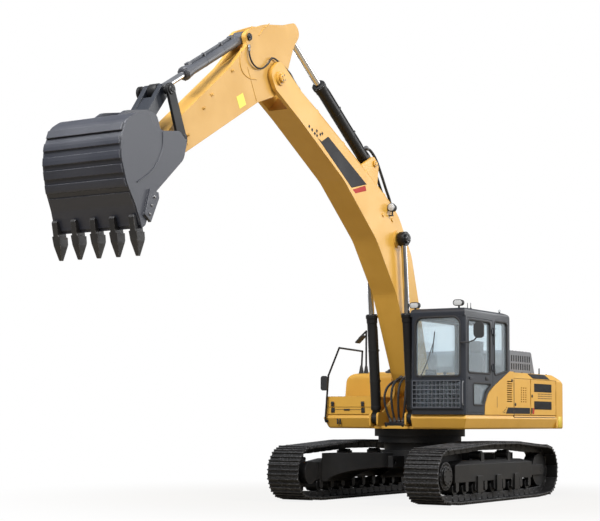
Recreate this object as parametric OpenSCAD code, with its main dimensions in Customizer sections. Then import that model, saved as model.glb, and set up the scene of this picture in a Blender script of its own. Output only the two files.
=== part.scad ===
// Crawler excavator of the 36 tonne class, drawn in millimetres.
// +X is forward, +Y is the cab side, +Z is up and z = 0 is the ground under the track shoes.
// Every piece is drawn about the slewing axis and then moved so that the whole is centred on X.

/* [Tracks] */
// distance between the two track centre lines
track_gauge = 2590; // [2400:10:2800]
// width of one shoe
shoe_w = 600; // [500:10:700]
// shoes on one track
shoe_count = 48; // [44:1:52]
// thickness of the shoe plate
shoe_t = 26; // [18:1:34]
// height of the three bars on a shoe
grouser_h = 30; // [20:1:40]
// distance of the end wheels from the slewing axis
wheel_x = 2075; // [1900:5:2200]
// height of the end wheels' centres
wheel_z = 478; // [460:1:540]
// radius to the outside of the shoe plates at the end wheels
wheel_r = 420; // [400:1:460]
// depth of the chain under the shoe plates
chain_d = 92; // [80:1:120]
// height of the shoe plates' top face over the carrier rollers
top_run_z = 985; // [950:5:1010]
// places of the carrier rollers
carrier_x = [430, -680];
// bottom rollers on one track
roller_count = 9; // [7:1:9]
// radius of a bottom roller
roller_r = 92; // [80:1:100]

/* [Slewing platform] */
// underside of the platform
deck_z = 1225; // [1150:5:1300]
// height of the platform's side band
deck_h = 245; // [200:5:300]
// half width of the platform
deck_y = 1474; // [1400:2:1550]
// front of the platform under the cab
deck_front_left = 1212; // [1100:2:1300]
// front of the platform under the toolbox
deck_front_right = 830; // [700:5:900]
// where the platform ends and the counterweight begins
deck_rear = -2765; // [-2900:5:-2600]
// how far the counterweight reaches behind the platform
tail_depth = 655; // [500:5:750]
// top of the side covers and of the counterweight
body_top = 2240; // [2100:5:2400]
// top of the raised hood
hood_top = 2670; // [2500:5:2800]
// half width of the middle bay between cab and tanks
bay_y = 455; // [430:5:480]

/* [Cab] */
// front, rear and top of the cab
cab_front = 1247; // [1200:1:1300]
// rear wall of the cab
cab_rear = -600; // [-700:5:-500]
// top of the cab roof
cab_top = 3255; // [3200:1:3300]
// inner side of the cab, next to the boom
cab_inner = 462; // [455:1:480]
// thickness of the cab walls and of its door
wall_t = 70; // [50:1:90]
// front and rear edge of the door
door_front = 1160; // [1100:5:1180]
// rear edge of the door above the side cover
door_rear = 130; // [100:5:200]
// gap round doors and lids
seam = 7; // [5:1:10]
// outer edge of the cab's mirror
mirror_out = 1815; // [1700:5:1850]

/* [Boom] */
// pin at the foot of the boom: x, z
boom_foot = [250, 1950];
// pin at the nose of the boom
boom_nose = [5060, 6490];
// width of the boom
boom_w = 460; // [420:5:520]
// distance of the boom cylinders from the middle
boom_cyl_y = 345; // [330:1:360]
// foot pin of the boom cylinders
boom_cyl_foot = [970, 1400];
// rod pin of the boom cylinders
boom_cyl_eye = [1280, 4460];
// radius of the boom cylinder barrels
boom_barrel_r = 86; // [75:1:90]
// length of those barrels from the pin
boom_barrel_l = 1780; // [1600:5:1800]
// length of the boom cylinder rods, from the inner end to the eye
boom_rod_l = 1675; // [1600:5:1720]

/* [Stick] */
// pin between stick and bucket
bucket_pin = [7840, 4920];
// width of the stick
stick_w = 310; // [280:2:330]
// foot pin of the stick cylinder on the boom
arm_cyl_foot = [1950, 5670];
// rod pin of the stick cylinder
arm_cyl_eye = [4510, 7330];
// radius of the stick cylinder barrel
arm_barrel_r = 92; // [80:1:100]
// length of that barrel from the pin
arm_barrel_l = 1905; // [1800:5:2000]
// length of the stick cylinder rod, from the inner end to the eye
arm_rod_l = 2116; // [2050:1:2118]
// foot pin of the bucket cylinder on the stick
bucket_cyl_foot = [5800, 6970];
// radius of the bucket cylinder barrel
bucket_barrel_r = 82; // [70:1:90]
// length of that barrel from the pin
bucket_barrel_l = 1600; // [1500:5:1650]
// length of the bucket cylinder rod, from the inner end to the eye
bucket_rod_l = 1745; // [1660:5:1790]

/* [Bucket] */
// pin of the side links on the stick
side_link_pin = [7550, 5160];
// pin where side links, bucket link and cylinder rod meet
joint_pin = [7820, 5780];
// pin of the bucket link on the bucket
ear_pin = [8190, 5310];
// width over the bucket's side plates at the lip
bucket_w = 1420; // [1200:10:1500]
// how far the bucket's back lies ahead of its pin
bucket_reach = 1495; // [1400:5:1650]
// angle by which each side plate leans in towards the back
bucket_taper = 5; // [0:0.5:7]
// thickness of the bucket's sheets
bucket_t = 36; // [25:1:45]
// teeth on the lip
tooth_count = 5; // [4:1:6]
// distance between the outer teeth
tooth_span = 1250; // [1100:10:1300]

/* [Hidden] */

$fn = 48;
yellow = [0.93, 0.66, 0.12];
dark = [0.16, 0.17, 0.19];
steel = [0.30, 0.31, 0.33];
cab_grey = [0.25, 0.29, 0.34];
pane = [0.70, 0.78, 0.84, 0.5];
chrome = [0.80, 0.81, 0.82];
// play between a pin and its bore
pin_play = 0.3;
// how far the rearmost and foremost points lie from the slewing axis
tail_r = tail_depth - deck_rear;
// how far the wear straps stand out from the bucket's back, and the same as a factor about its middle
strap_out = 24.5;
bucket_mid = [1020, -330];
strap_k = 1 + strap_out / (bucket_reach - bucket_mid.x);
front_reach = bucket_pin.x + bucket_reach + strap_out;
slew_x = (tail_r - front_reach) / 2;
track_y = track_gauge / 2;
// the cab's mirror stands out past the tracks on one side
slew_y = (track_y + shoe_w / 2 - mirror_out) / 2;
deck_top = deck_z + deck_h;
boom_angle = atan2(boom_nose.y - boom_foot.y, boom_nose.x - boom_foot.x);
stick_angle = atan2(bucket_pin.y - boom_nose.y, bucket_pin.x - boom_nose.x);
boom_l = norm(boom_nose - boom_foot);
stick_l = norm(bucket_pin - boom_nose);

// a point turned about the origin
function turned(p, a) = [p.x * cos(a) - p.y * sin(a), p.x * sin(a) + p.y * cos(a)];
// a world point in the frame of the boom or of the stick
function in_boom(p) = turned(p - boom_foot, -boom_angle);
function in_stick(p) = turned(p - boom_nose, -stick_angle);

// arc that rounds corner b between a and c; the third number of b is the radius
function corner(a, b, c) =
    let (
        p = [b.x, b.y],
        u = ([a.x, a.y] - p) / norm([a.x, a.y] - p),
        v = ([c.x, c.y] - p) / norm([c.x, c.y] - p),
        half = acos(max(-1, min(1, u * v))) / 2,
        r = b[2],
        middle = p + (u + v) / norm(u + v) * r / sin(half),
        t = r / tan(half),
        s = p + u * t - middle,
        e = p + v * t - middle,
        a0 = atan2(s.y, s.x),
        sweep = ((atan2(e.y, e.x) - a0 + 540) % 360) - 180,
        n = max(2, ceil(abs(sweep) / 9))
    )
    r == 0 ? [p] : [for (i = [0 : n]) middle + r * [cos(a0 + sweep * i / n), sin(a0 + sweep * i / n)]];
// closed outline from rows of x, z and corner radius
function rounded(q) =
    let (n = len(q))
    [for (i = [0 : n - 1]) each corner(q[(i + n - 1) % n], q[i], q[(i + 1) % n])];
function scaled(q, c, k) = [for (p = q) [c.x + (p.x - c.x) * k, c.y + (p.y - c.y) * k, p[2]]];

// moves a piece from the slewing axis to its place in the shared frame
module placed() translate([slew_x, slew_y, 0]) children();
// an outline in X and Z, given its thickness along Y
module plate(y0, y1) translate([0, y1, 0]) rotate([90, 0, 0]) linear_extrude(y1 - y0) children();
// the same on both sides
module pair() {
    children();
    mirror([0, 1, 0]) children();
}
// a round bar along Y at the point p
module bar_y(p, r, y0, y1) translate([p.x, y0, p.y]) rotate([-90, 0, 0]) cylinder(r = r, h = y1 - y0);
// a box from corner to corner
module block(a, b) translate(a) cube(b - a);
// a round bar between two points in space
module bar(p, q, r) {
    d = q - p;
    translate(p) rotate([0, acos(d.z / norm(d)), atan2(d.y, d.x)]) cylinder(r = r, h = norm(d));
}
// a bent tube through points in space
module tube(points, r) {
    for (i = [0 : len(points) - 2]) bar(points[i], points[i + 1], r);
    for (p = points) translate(p) sphere(r = r * 1.1);
}
// places a shape drawn in the boom's or the stick's own frame
module on_boom() translate([boom_foot.x, 0, boom_foot.y]) rotate([0, -boom_angle, 0]) children();
module on_stick() translate([boom_nose.x, 0, boom_nose.y]) rotate([0, -stick_angle, 0]) children();
module on_bucket() translate([bucket_pin.x, 0, bucket_pin.y]) children();
// turns X to point from p to q
module along(p, q) translate([p.x, 0, p.y]) rotate([0, -atan2(q.y - p.y, q.x - p.x), 0]) children();

// the track's path: wheels as x, z, radius, in turn against the clock
contact_x = 1620;
track_wheels = [
    [wheel_x, wheel_z, wheel_r],
    [carrier_x[0], top_run_z - 160, 160],
    [carrier_x[1], top_run_z - 160, 160],
    [-wheel_x, wheel_z, wheel_r],
    [-contact_x, grouser_h + 300, 300],
    [contact_x, grouser_h + 300, 300]
];
wheel_n = len(track_wheels);
// direction of the outward normal on the straight run from wheel i to the next
function run_normal(i) =
    let (
        a = track_wheels[i],
        b = track_wheels[(i + 1) % wheel_n],
        d = [b.x - a.x, b.y - a.y],
        l = norm(d)
    )
    atan2(-d.x, d.y) + 360 - asin((b[2] - a[2]) / l);
function wheel_turn(i) = (run_normal(i) - run_normal((i + wheel_n - 1) % wheel_n) + 720) % 360;
function wheel_point(i, a, lift) =
    [track_wheels[i].x, track_wheels[i].y] + (track_wheels[i][2] + lift) * [cos(a), sin(a)];
// every arc and run as kind, wheel, length
track_parts = [
    for (i = [0 : wheel_n - 1])
        each [
            [0, i, wheel_turn(i) * PI / 180 * track_wheels[i][2]],
            [1, i, norm(wheel_point((i + 1) % wheel_n, run_normal(i), 0) - wheel_point(i, run_normal(i), 0))]
        ]
];
function total(q, n) = n < 0 ? 0 : q[n][2] + total(q, n - 1);
track_length = total(track_parts, len(track_parts) - 1);
// point on the path s along it and lift outside it
function track_point(s, lift, k = 0) =
    s > track_parts[k][2] && k < len(track_parts) - 1
        ? track_point(s - track_parts[k][2], lift, k + 1)
        : let (
            i = track_parts[k][1],
            start = run_normal((i + wheel_n - 1) % wheel_n),
            a = run_normal(i)
        )
        track_parts[k][0] == 0
            ? wheel_point(i, start + s / track_wheels[i][2] * 180 / PI, lift)
            : wheel_point(i, a, lift) + s * [-sin(a), cos(a)];
// one shoe as rows of place along the shoe and lift
shoe_rows = [
    [0.10, 0], [0.13, 1], [0.19, 1], [0.22, 0], [0.44, 0], [0.47, 1], [0.53, 1], [0.56, 0], [0.80, 0],
    [0.84, 1],
    [0.90, 1], [0.93, 0]
];
track_outline = [
    for (n = [0 : shoe_count - 1], row = shoe_rows)
        track_point((n + row[0]) * track_length / shoe_count, row[1] * grouser_h)
];
function inner_loop(lift) = [
    for (n = [0 : shoe_count - 1]) track_point((n + 0.5) * track_length / shoe_count, lift)
];

module track(side) {
    y = side * track_y;
    color(dark) placed() {
        plate(y - shoe_w / 2, y + shoe_w / 2) difference() {
            polygon(track_outline);
            polygon(inner_loop(-shoe_t));
        }
        for (s = [-1, 1])
            plate(y + s * 66 - 26, y + s * 66 + 26) difference() {
                polygon(inner_loop(-shoe_t + 4));
                polygon(inner_loop(-shoe_t - chain_d));
            }
    }
}
module track_left() track(1);
module track_right() track(-1);

// room between a roller and the chain
roller_gap = 0.55;
// inside of the chain at the ground and at the end wheels
rail_z = grouser_h + shoe_t + chain_d;
rail_r = wheel_r - shoe_t - chain_d;
frame_low = rail_z + 2 * roller_r + 22;
frame_half = 165;
frame_end = 1600;
frame_side = 640;
frame_top = 700;
frame_rows = [
    [frame_end, frame_low, 0], [frame_end, frame_side, 40], [1200, frame_top, 60], [-1200, frame_top, 60],
    [-frame_end, frame_side, 40], [-frame_end, frame_low, 0]
];
// chain guides beside the rollers
guide_x = [660, -120, -880];
guide_half = 105;
module track_frame(side) {
    y = side * track_y;
    color(steel) placed() {
        intersection() {
            plate(y - frame_half, y + frame_half) polygon(rounded(frame_rows));
            // upright sides under a roof-shaped top
            wall_x(-frame_end, frame_end) polygon([
                [y - frame_half, frame_low], [y - frame_half, frame_side], [y - 100, frame_top],
                [y + 100, frame_top], [y + frame_half, frame_side], [y + frame_half, frame_low]
            ]);
        }
        // cheek that carries the travel motor
        plate(y - side * 130 - 25, y - side * 130 + 25)
            polygon(rounded([
                [1500, 380, 0], [1800, 300, 60], [2330, 330, 150], [2330, 640, 150], [1800, 660, 60],
                [1500, 590, 0]
            ]));
        // fork that holds the idler
        for (s = [-1, 1])
            plate(y + s * 132 - 20, y + s * 132 + 20)
                polygon(rounded([[-1500, 390, 0], [-2190, 390, 60], [-2190, 570, 60], [-1500, 580, 0]]));
        // legs under the carrier rollers
        for (x = carrier_x)
            for (s = [-1, 1])
                block([x - 60, y + s * 112 - 12, 600], [x + 60, y + s * 112 + 12, carrier_z + 40]);
        for (x = guide_x)
            block([x - guide_half, y + side * 178 - 13, rail_z + 15],
                [x + guide_half, y + side * 178 + 13, frame_low + 90]);
    }
}
module track_frame_left() track_frame(1);
module track_frame_right() track_frame(-1);

carrier_z = top_run_z - shoe_t - chain_d - 70 - 14 * roller_gap;
module sprocket_gear() {
    plate(-30, 30) difference() {
        circle(r = rail_r + 52);
        for (i = [0 : 20]) rotate((i + 0.5) * 360 / 21) translate([rail_r + 46, 0]) circle(r = 30, $fn = 24);
    }
}
module sprockets() {
    color(steel) placed() for (side = [-1, 1])
        translate([wheel_x, side * track_y, wheel_z]) {
            sprocket_gear();
            bar_y([0, 0], 225, side > 0 ? -105 : -235, side > 0 ? 235 : 105);
            bar_y([0, 0], 150, side > 0 ? 235 : -275, side > 0 ? 275 : -235);
        }
}
module travel_motors() {
    color(dark) placed() for (side = [-1, 1])
        translate([wheel_x, side * track_y, wheel_z])
            bar_y([0, 0], 190, side > 0 ? -290 : 155, side > 0 ? -155 : 290);
}
module idlers() {
    color(steel) placed() for (side = [-1, 1])
        translate([-wheel_x, side * track_y, wheel_z]) {
            bar_y([0, 0], rail_r - 12.5, -100, 100);
            bar_y([0, 0], 70, -112, 112);
        }
}
function roller_x(n) = (contact_x - 120) * (2 * n / (roller_count - 1) - 1);
module bottom_rollers() {
    color(steel) placed() for (side = [-1, 1], n = [0 : roller_count - 1])
        translate([roller_x(n), side * track_y, rail_z + roller_r + roller_gap]) {
            bar_y([0, 0], roller_r, -110, 110);
            bar_y([0, 0], 46, -160, 160);
            for (s = [-1, 1])
                block([-50, s * 140 - 20, -20],
                    [50, s * 140 + 20, frame_low - rail_z - roller_r - roller_gap]);
        }
}
module carrier_rollers() {
    color(steel) placed() for (side = [-1, 1], x = carrier_x)
        translate([x, side * track_y, carrier_z]) bar_y([0, 0], 70, -100, 100);
}

tow_x = 1020;
// one leg of the car body in plan, towards front left
leg_rows = [[250, 0, 0], [820, 250, 250], [1500, 1130, 0], [640, 1130, 0], [250, 640, 200], [0, 560, 0],
    [0, 0, 0]];
leg_low = 310;
leg_top = 800;
module car_body() {
    color(dark) placed() difference() {
        union() {
            translate([0, 0, 520]) cylinder(r = 690, h = 330);
            for (s = [-1, 1], t = [-1, 1])
                scale([s, t, 1]) translate([0, 0, leg_low])
                    linear_extrude(leg_top - leg_low) polygon(rounded(leg_rows));
            for (s = [-1, 1]) scale([s, 1, 1]) block([500, -45, 560], [tow_x + 80, 45, 760]);
        }
        // tow eyes
        for (s = [-1, 1]) bar_y([s * tow_x, 660], 40, -60, 60);
        // arch between the tracks
        translate([0, 0, leg_low - 10]) scale([1, 1, 0.25]) rotate([0, 90, 0])
            cylinder(r = 1060, h = 3200, center = true);
    }
}
// fixed half of the slewing bearing
module slew_bearing() {
    color(dark) placed() difference() {
        union() {
            translate([0, 0, 850]) cylinder(r = 625, h = 130);
            translate([0, 0, 980]) cylinder(r = 735, h = 110);
        }
        translate([0, 0, 840]) cylinder(r = 480, h = 260);
    }
}
// turning half of the slewing bearing, with a spigot in the fixed half
ring_z = 1090 + pin_play;
module slew_ring_top() {
    color(dark) placed() difference() {
        union() {
            translate([0, 0, ring_z]) cylinder(r = 800, h = deck_z - ring_z);
            translate([0, 0, ring_z - 90]) cylinder(r = 480 - pin_play, h = 120);
        }
        translate([0, 0, 900]) cylinder(r = 420, h = 500);
    }
}

// cheek plates that carry the boom foot and the boom cylinders
cheek_rows = [
    [-1500, deck_z + 40, 0], [1080, deck_z + 40, 60], [1080, 1500, 60], [880, 1510, 60], [480, 1780, 200],
    [430, 2110, 120], [90, 2140, 120], [-260, 1900, 200], [-1500, 1650, 0]
];
// edge of the platform: places in from the side or front, and heights, from the bottom up
deck_edge = [[-75, deck_z], [-52, deck_z + 24], [14, deck_top - 66], [-22, deck_top]];
module deck_side(front) {
    intersection() {
        wall_x(deck_rear, front + 50)
            polygon([[bay_y, deck_z], for (p = deck_edge) [deck_y + p.x, p.y], [bay_y, deck_top]]);
        plate(bay_y, deck_y + 50)
            polygon([[deck_rear, deck_z], for (p = deck_edge) [front + p.x, p.y], [deck_rear, deck_top]]);
    }
}
module main_frame() {
    color(yellow) placed() {
        // platform under the cab and the left covers, and under the toolbox and the tanks
        deck_side(deck_front_left);
        mirror([0, 1, 0]) deck_side(deck_front_right);
        // middle floor
        block([deck_rear, -bay_y, deck_z], [960, bay_y, deck_z + 50]);
        pair() plate(256, 292) polygon(rounded(cheek_rows));
        // outer lug of each boom cylinder
        pair() plate(402, 434)
            polygon(rounded([[860, 1240, 0], [1080, 1240, 60], [1080, 1500, 60], [880, 1500, 60],
                [700, 1270, 0]]));
        bar_y(boom_foot, 60, -312, 312);
        pair() bar_y(boom_cyl_foot, 45, 270, 440);
    }
}

lift_eye_x = deck_rear - tail_depth * 0.44;
lift_eye_y = 620;
lift_eye_z = body_top + 75;
// counterweight: the tail's arc in plan with a rounded top edge
module counterweight() {
    color(yellow) placed() {
        intersection() {
            union() {
                translate([0, 0, deck_z]) cylinder(r = tail_r, h = body_top - deck_z - 170, $fn = 180);
                translate([0, 0, body_top - 170]) cylinder(r1 = tail_r, r2 = tail_r - 230, h = 170,
                    $fn = 180);
            }
            wall_x(-tail_r - 10, deck_rear) polygon(rounded([
                [-deck_y, deck_z, 40], [deck_y, deck_z, 40], [deck_y, body_top - 110, 60],
                [deck_y - 150, body_top, 80],
                [-deck_y + 150, body_top, 80], [-deck_y, body_top - 110, 60]
            ]));
        }
        // lifting eyes
        for (s = [-1, 1]) difference() {
            plate(s * lift_eye_y - 25, s * lift_eye_y + 25) polygon(rounded([
                [lift_eye_x - 110, body_top - 10, 0], [lift_eye_x - 60, lift_eye_z + 65, 50],
                [lift_eye_x + 60, lift_eye_z + 65, 50], [lift_eye_x + 110, body_top - 10, 0]
            ]));
            bar_y([lift_eye_x, lift_eye_z], 35, s * lift_eye_y - 40, s * lift_eye_y + 40);
        }
    }
}
module engine_block() {
    color(steel) placed() block([-2500, -560, deck_top + 40], [-1560, 560, 2120]);
    color(steel) placed() for (x = [-2400, -1760], y = [-440, 320])
        block([x, y, deck_z + 50], [x + 140, y + 120, deck_top + 40]);
}

// bevelled section of the covers beside the hood, in Y and Z
door_top = 2120;
front_door_x = -1520;
rear_door_x = -2735;
hood_y = 1005;
hood_front = -1480;
hood_axis = [hood_front + 22, body_top + 22];
hood_hinge_y = [-700, 700];
shoulder_rows = [
    [hood_y, body_top - 50], [hood_y, body_top], [deck_y - 150, body_top], [deck_y, body_top - 110],
    [deck_y, door_top + seam], [deck_y - 50, door_top + seam], [deck_y - 50, body_top - 130],
    [deck_y - 170, body_top - 50]
];
module bay_frame() {
    color(yellow) placed() {
        // shoulders over the side doors
        for (s = [0, 1]) mirror([0, s, 0])
            translate([deck_rear, 0, 0]) rotate([90, 0,
                90]) linear_extrude(-780 - deck_rear) polygon(shoulder_rows);
        // roof ahead of the hood and behind it
        block([hood_front + seam, -hood_y, body_top - 50], [-780, hood_y, body_top]);
        block([deck_rear, -hood_y, body_top - 50], [-2730, hood_y, body_top]);
        // bulkhead behind the cab
        block([-820, -bay_y + 5, 1850], [-780, bay_y - 5, body_top - 50]);
        block([-820, -246, deck_z + 50], [-780, 246, 1850]);
        pair() block([-820, 302, deck_z + 50], [-780, bay_y - 5, 1850]);
        block([-820, bay_y - 5, deck_top], [-780, deck_y - 95, body_top - 50]);
        bay_hinge_pin(front_door_x, 1);
        for (side = [-1, 1]) bay_hinge_pin(rear_door_x, side);
        // pins of the hood with their lugs
        for (y = hood_hinge_y) {
            bar_y(hood_axis, 8, y - 70, y + 70);
            for (s = [-1, 1])
                block([hood_axis.x - 8, y + s * 62 - 10, body_top - 10],
                    [hood_axis.x + 20, y + s * 62 + 10, hood_axis.y + 10]);
        }
        // posts between the doors
        for (x = [-1560, deck_rear])
            block([x, deck_y - 145, deck_top], [x + 40, deck_y - 95, body_top - 130]);
        for (x = [-1560, deck_rear])
            block([x, -deck_y + 95, deck_top], [x + 40, -deck_y + 145, body_top - 130]);
    }
}

// lower rear cover along the cab, with a column of slots
module side_cover() {
    color(yellow) placed() difference() {
        plate(deck_y - wall_t, deck_y) polygon(rounded([
            [460, deck_top, 0], [442, 1630, 60], [310, 1829, 120], [51, 1973, 200], [-600, body_top, 0],
            [-773, body_top, 0], [-773, deck_top, 0]
        ]));
        vents(-705, -480, 1700, 2090, 10, 1);
    }
}

// side doors: x0 is the hinged rear edge, with knuckles on a long pin
hinge_out = 13;
hinge_in = 12;
module bay_door(x0, x1, side) {
    y = side > 0 ? deck_y - 50 : -deck_y;
    difference() {
        union() {
            difference() {
                block([x0, y, deck_top + seam], [x1, y + 50, door_top]);
                children();
            }
            for (z = [1560, 1960]) {
                translate([x0 - hinge_out, side * (deck_y - hinge_in), z]) cylinder(r = 11, h = 90);
                block([x0 - hinge_out, side * (deck_y - hinge_in) - 6, z],
                    [x0 + 10, side * (deck_y - hinge_in) + 6, z + 90]);
            }
        }
        translate([x0 - hinge_out, side * (deck_y - hinge_in), 1400]) cylinder(r = 6 + pin_play, h = 900);
    }
}
module bay_hinge_pin(x0, side) {
    translate([x0 - hinge_out, side * (deck_y - hinge_in), deck_top]) cylinder(r = 6,
        h = door_top + seam - deck_top);
}
module vents(x0, x1, z0, z1, count, side) {
    pitch = (z1 - z0) / count;
    for (i = [0 : count - 1])
        block([x0, side * deck_y - 80, z0 + i * pitch],
            [x1, side * deck_y + 80, z0 + i * pitch + pitch * 0.45]);
}
module left_front_door() {
    color(yellow) placed() bay_door(front_door_x, -787, 1) for (x = [-1340, -1240, -1140]) vents(x,
        x + 50, 1700, 1990, 7, 1);
}
module left_rear_door() {
    color(yellow) placed() bay_door(rear_door_x, -1553, 1) {
        vents(-2520, -1700, 1900, 2050, 5, 1);
        vents(-2520, -1700, 1580, 1730, 5, 1);
    }
}
module right_door() {
    color(yellow) placed() bay_door(rear_door_x, -1553, -1) vents(-2520, -1700, 1620, 2050, 12, -1);
}
// raised hood with slots along its sides
module hood() {
    color(dark) placed() difference() {
        plate(-hood_y + seam, hood_y - seam)
            polygon(rounded([
                [hood_front, body_top - 50, 0], [hood_front, hood_top, 90], [-2690, hood_top, 60],
                [-2860, body_top + 8, 0], [-2722, body_top + 8, 0], [-2722, body_top - 50, 0]
            ]));
        plate(-hood_y + 60, hood_y - 60)
            polygon([
                [hood_front - 50, body_top - 60], [hood_front - 50, hood_top - 50], [-2650, hood_top - 50],
                [-2670, body_top - 60]
            ]);
        // two rows of upright slots through both sides
        for (i = [0 : 8], k = [0 : 1])
            block([-2640 + i * 105, -hood_y - 60, 2322 + k * 150],
                [-2588 + i * 105, hood_y + 60, 2436 + k * 150]);
    }
    color(dark) placed() for (y = hood_hinge_y)
        difference() {
            union() {
                bar_y(hood_axis, 16, y - 45, y + 45);
                block([hood_front - 20, y - 45, hood_axis.y - 8], [hood_axis.x, y + 45, hood_axis.y + 8]);
            }
            bar_y(hood_axis, 8 + pin_play, y - 100, y + 100);
        }
}

tank_top = 2215;
module fuel_tank() {
    color(yellow) placed() intersection() {
        plate(-deck_y, -bay_y)
            polygon(rounded([[180, deck_top, 0], [180, tank_top, 110], [-640, tank_top, 40],
                [-640, deck_top, 0]]));
        wall_x(-700, 300) polygon(rounded([
            [-deck_y + 20, deck_top, 0], [-deck_y + 85, tank_top, 190], [-bay_y - 20, tank_top, 0],
            [-bay_y - 20, deck_top, 0]
        ]));
    }
}
module oil_tank() {
    color(yellow) placed() plate(-deck_y + 20, -bay_y - 20)
        polygon(rounded([[-646, deck_top, 0], [-646, 2262, 40], [-772, 2262, 30], [-772, deck_top, 0]]));
    color(yellow) placed() block([-1528, -deck_y, deck_top], [-826, -deck_y + 50, door_top]);
}
lid_z = 1740;
// lower edge of the lid's front
flange_z = 1600;
lid_axis = [192, lid_z + 46];
lid_hinge_y = [-1250, -700];
module toolbox() {
    color(yellow) placed() {
        difference() {
            union() {
                block([190, -deck_y + 20, deck_top], [deck_front_right, -bay_y - 20, flange_z - 8]);
                block([190, -deck_y + 20, deck_top], [deck_front_right - 34, -bay_y - 20, lid_z]);
            }
            block([240, -deck_y + 70, deck_top + 40], [deck_front_right - 50, -bay_y - 70, lid_z + 10]);
        }
        // pins of the lid with their lugs
        for (y = lid_hinge_y) {
            bar_y(lid_axis, 4, y - 50, y + 50);
            for (s = [-1, 1])
                block([184, y + s * 46 - 8, lid_z - 40], [200, y + s * 46 + 8, lid_axis.y + 6]);
        }
    }
}
module toolbox_lid() {
    color(yellow) placed() {
        wall_x(207, deck_front_right) polygon(rounded([
            [-deck_y + 20, lid_z + 6, 0], [-deck_y + 20, lid_z + 46, 30], [-bay_y - 20, lid_z + 46, 10],
            [-bay_y - 20, lid_z + 6, 0]
        ]));
        block([deck_front_right - 22, -deck_y + 20, flange_z], [deck_front_right, -bay_y - 20, lid_z + 20]);
        // knuckles
        for (y = lid_hinge_y) difference() {
            union() {
                bar_y(lid_axis, 8, y - 30, y + 30);
                block([lid_axis.x, y - 30, lid_axis.y - 8], [215, y + 30, lid_axis.y]);
            }
            bar_y(lid_axis, 4 + pin_play, y - 60, y + 60);
        }
    }
    color(dark) placed() for (y = [-1300, -690])
        block([deck_front_right, y - 22, flange_z + 6], [deck_front_right + 22, y + 22, 1700]);
}

module handrails() {
    color(dark) placed() {
        // from the tank's top over the toolbox and down its outer front corner
        tube([[40, -1170, tank_top + 30], [40, -1150, 2620], [880, -1150, 2645], [880, -1370, 2160],
            [880, -1430, 1370]], 17);
        tube([[880, -1430, 1370], [866, -1420, 1350]], 17);
        block([deck_front_right + 14, -1450, 1325], [deck_front_right + 34, -1390, 1375]);
        // post of the upper mirror
        tube([[-50, -1120, tank_top + 30], [-50, -1120, 2990], [-30, -1250, 2870]], 17);
        for (p = [[40, -1170], [-50, -1120]]) translate([p.x, p.y, tank_top]) cylinder(r = 36, h = 24);
        bar([-30, -1250, 2870], [-30, -1235, 2854], 12);
        for (z = [1960, 2080])
            bar([880, -1370 - (2160 - z) * 60 / 790, z], [904, -1370 - (2160 - z) * 60 / 790, z], 10);
    }
}
module mirrors() {
    color(dark) placed() {
        // on the rail at the right
        wall_x(904, 934) polygon(rounded([
            [-1500, 1890, 45], [-1370, 1890, 45], [-1370, 2150, 45], [-1500, 2150, 45]
        ]));
        // on the post over the tank, turned down to the ground
        translate([-30, -1235, 2854]) rotate([atan2(15, 16), 0, 0]) block([-80, -95, -26], [80, 95, 0]);
        // on an arm at the cab's left front post
        block([cab_front, 1384, 2640], [cab_front + 14, 1412, 2690]);
        tube([
            [cab_front + 16, 1398, 2665], [1300, 1450, 2665], [1270, 1560, 2668], [1240, 1640, 2700],
            [1234, mirror_out - 90, 2790]
        ], 12);
        wall_x(1216, 1252) polygon(rounded([
            [mirror_out - 180, 2735, 80], [mirror_out, 2735, 60], [mirror_out, 3005, 60],
            [mirror_out - 180, 3005, 80]
        ]));
    }
}
// roof lamps: place across and height of the middle over the roof
lamp_rows = [[505, 66], [1325, 84]];
module lamps() {
    color(pane) placed() {
        for (p = lamp_rows) {
            translate([0, p.x, cab_top + p.y]) wall_x(1120, 1195)
                polygon(rounded([[-86, -50, 48], [86, -50, 48], [86, 50, 48], [-86, 50, 48]]));
            translate([1150, p.x, cab_top]) cylinder(r = 16, h = p.y);
        }
    }
}

roof_z = cab_top - 134;
door_rows = [
    [door_front, deck_top + 30, 30], [480, deck_top + 30, 10], [458, 1640, 60], [322, 1844, 120],
    [door_rear, 1950, 40],
    [door_rear, roof_z - 30, 60], [door_front, roof_z - 30, 60]
];
door_hole = [
    [door_front + seam, deck_top + 30 - seam, 30], [480 - seam, deck_top + 30 - seam, 10],
    [460 - seam, 1640, 60],
    [325 - seam, 1840 - seam, 120], [door_rear - seam, 1943 - seam, 40],
    [door_rear - seam, roof_z - 30 + seam, 60],
    [door_front + seam, roof_z - 30 + seam, 60]
];
door_window = [[1100, 2180, 40], [232, 2180, 40], [232, roof_z - 70, 60], [1100, roof_z - 70, 60]];
door_low_window = [[900, 1640, 40], [535, 1640, 40], [400, 1866, 90], [232, 1966, 15], [232, 1994, 12],
    [900, 1994, 40]];
quarter_window = [[40, 2160, 40], [-480, 2240, 40], [-480, roof_z - 40, 60], [40, roof_z - 40, 60]];
right_window = [[1110, 2080, 40], [-480, 2080, 40], [-480, roof_z - 40, 60], [1110, roof_z - 40, 60]];
// front and rear panes in Y and Z
front_window = [[560, 2120, 50], [1376, 2120, 50], [1376, roof_z - 25, 130], [560, roof_z - 25, 130]];
front_low_window = [[550, 1600, 30], [1386, 1600, 30], [1386, 2040, 30], [550, 2040, 30]];
rear_window = [[590, 2330, 40], [1346, 2330, 40], [1346, roof_z - 40, 60], [590, roof_z - 40, 60]];
// an outline in Y and Z, given its thickness along X
module wall_x(x0, x1) translate([x0, 0, 0]) rotate([90, 0, 90]) linear_extrude(x1 - x0) children();

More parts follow.
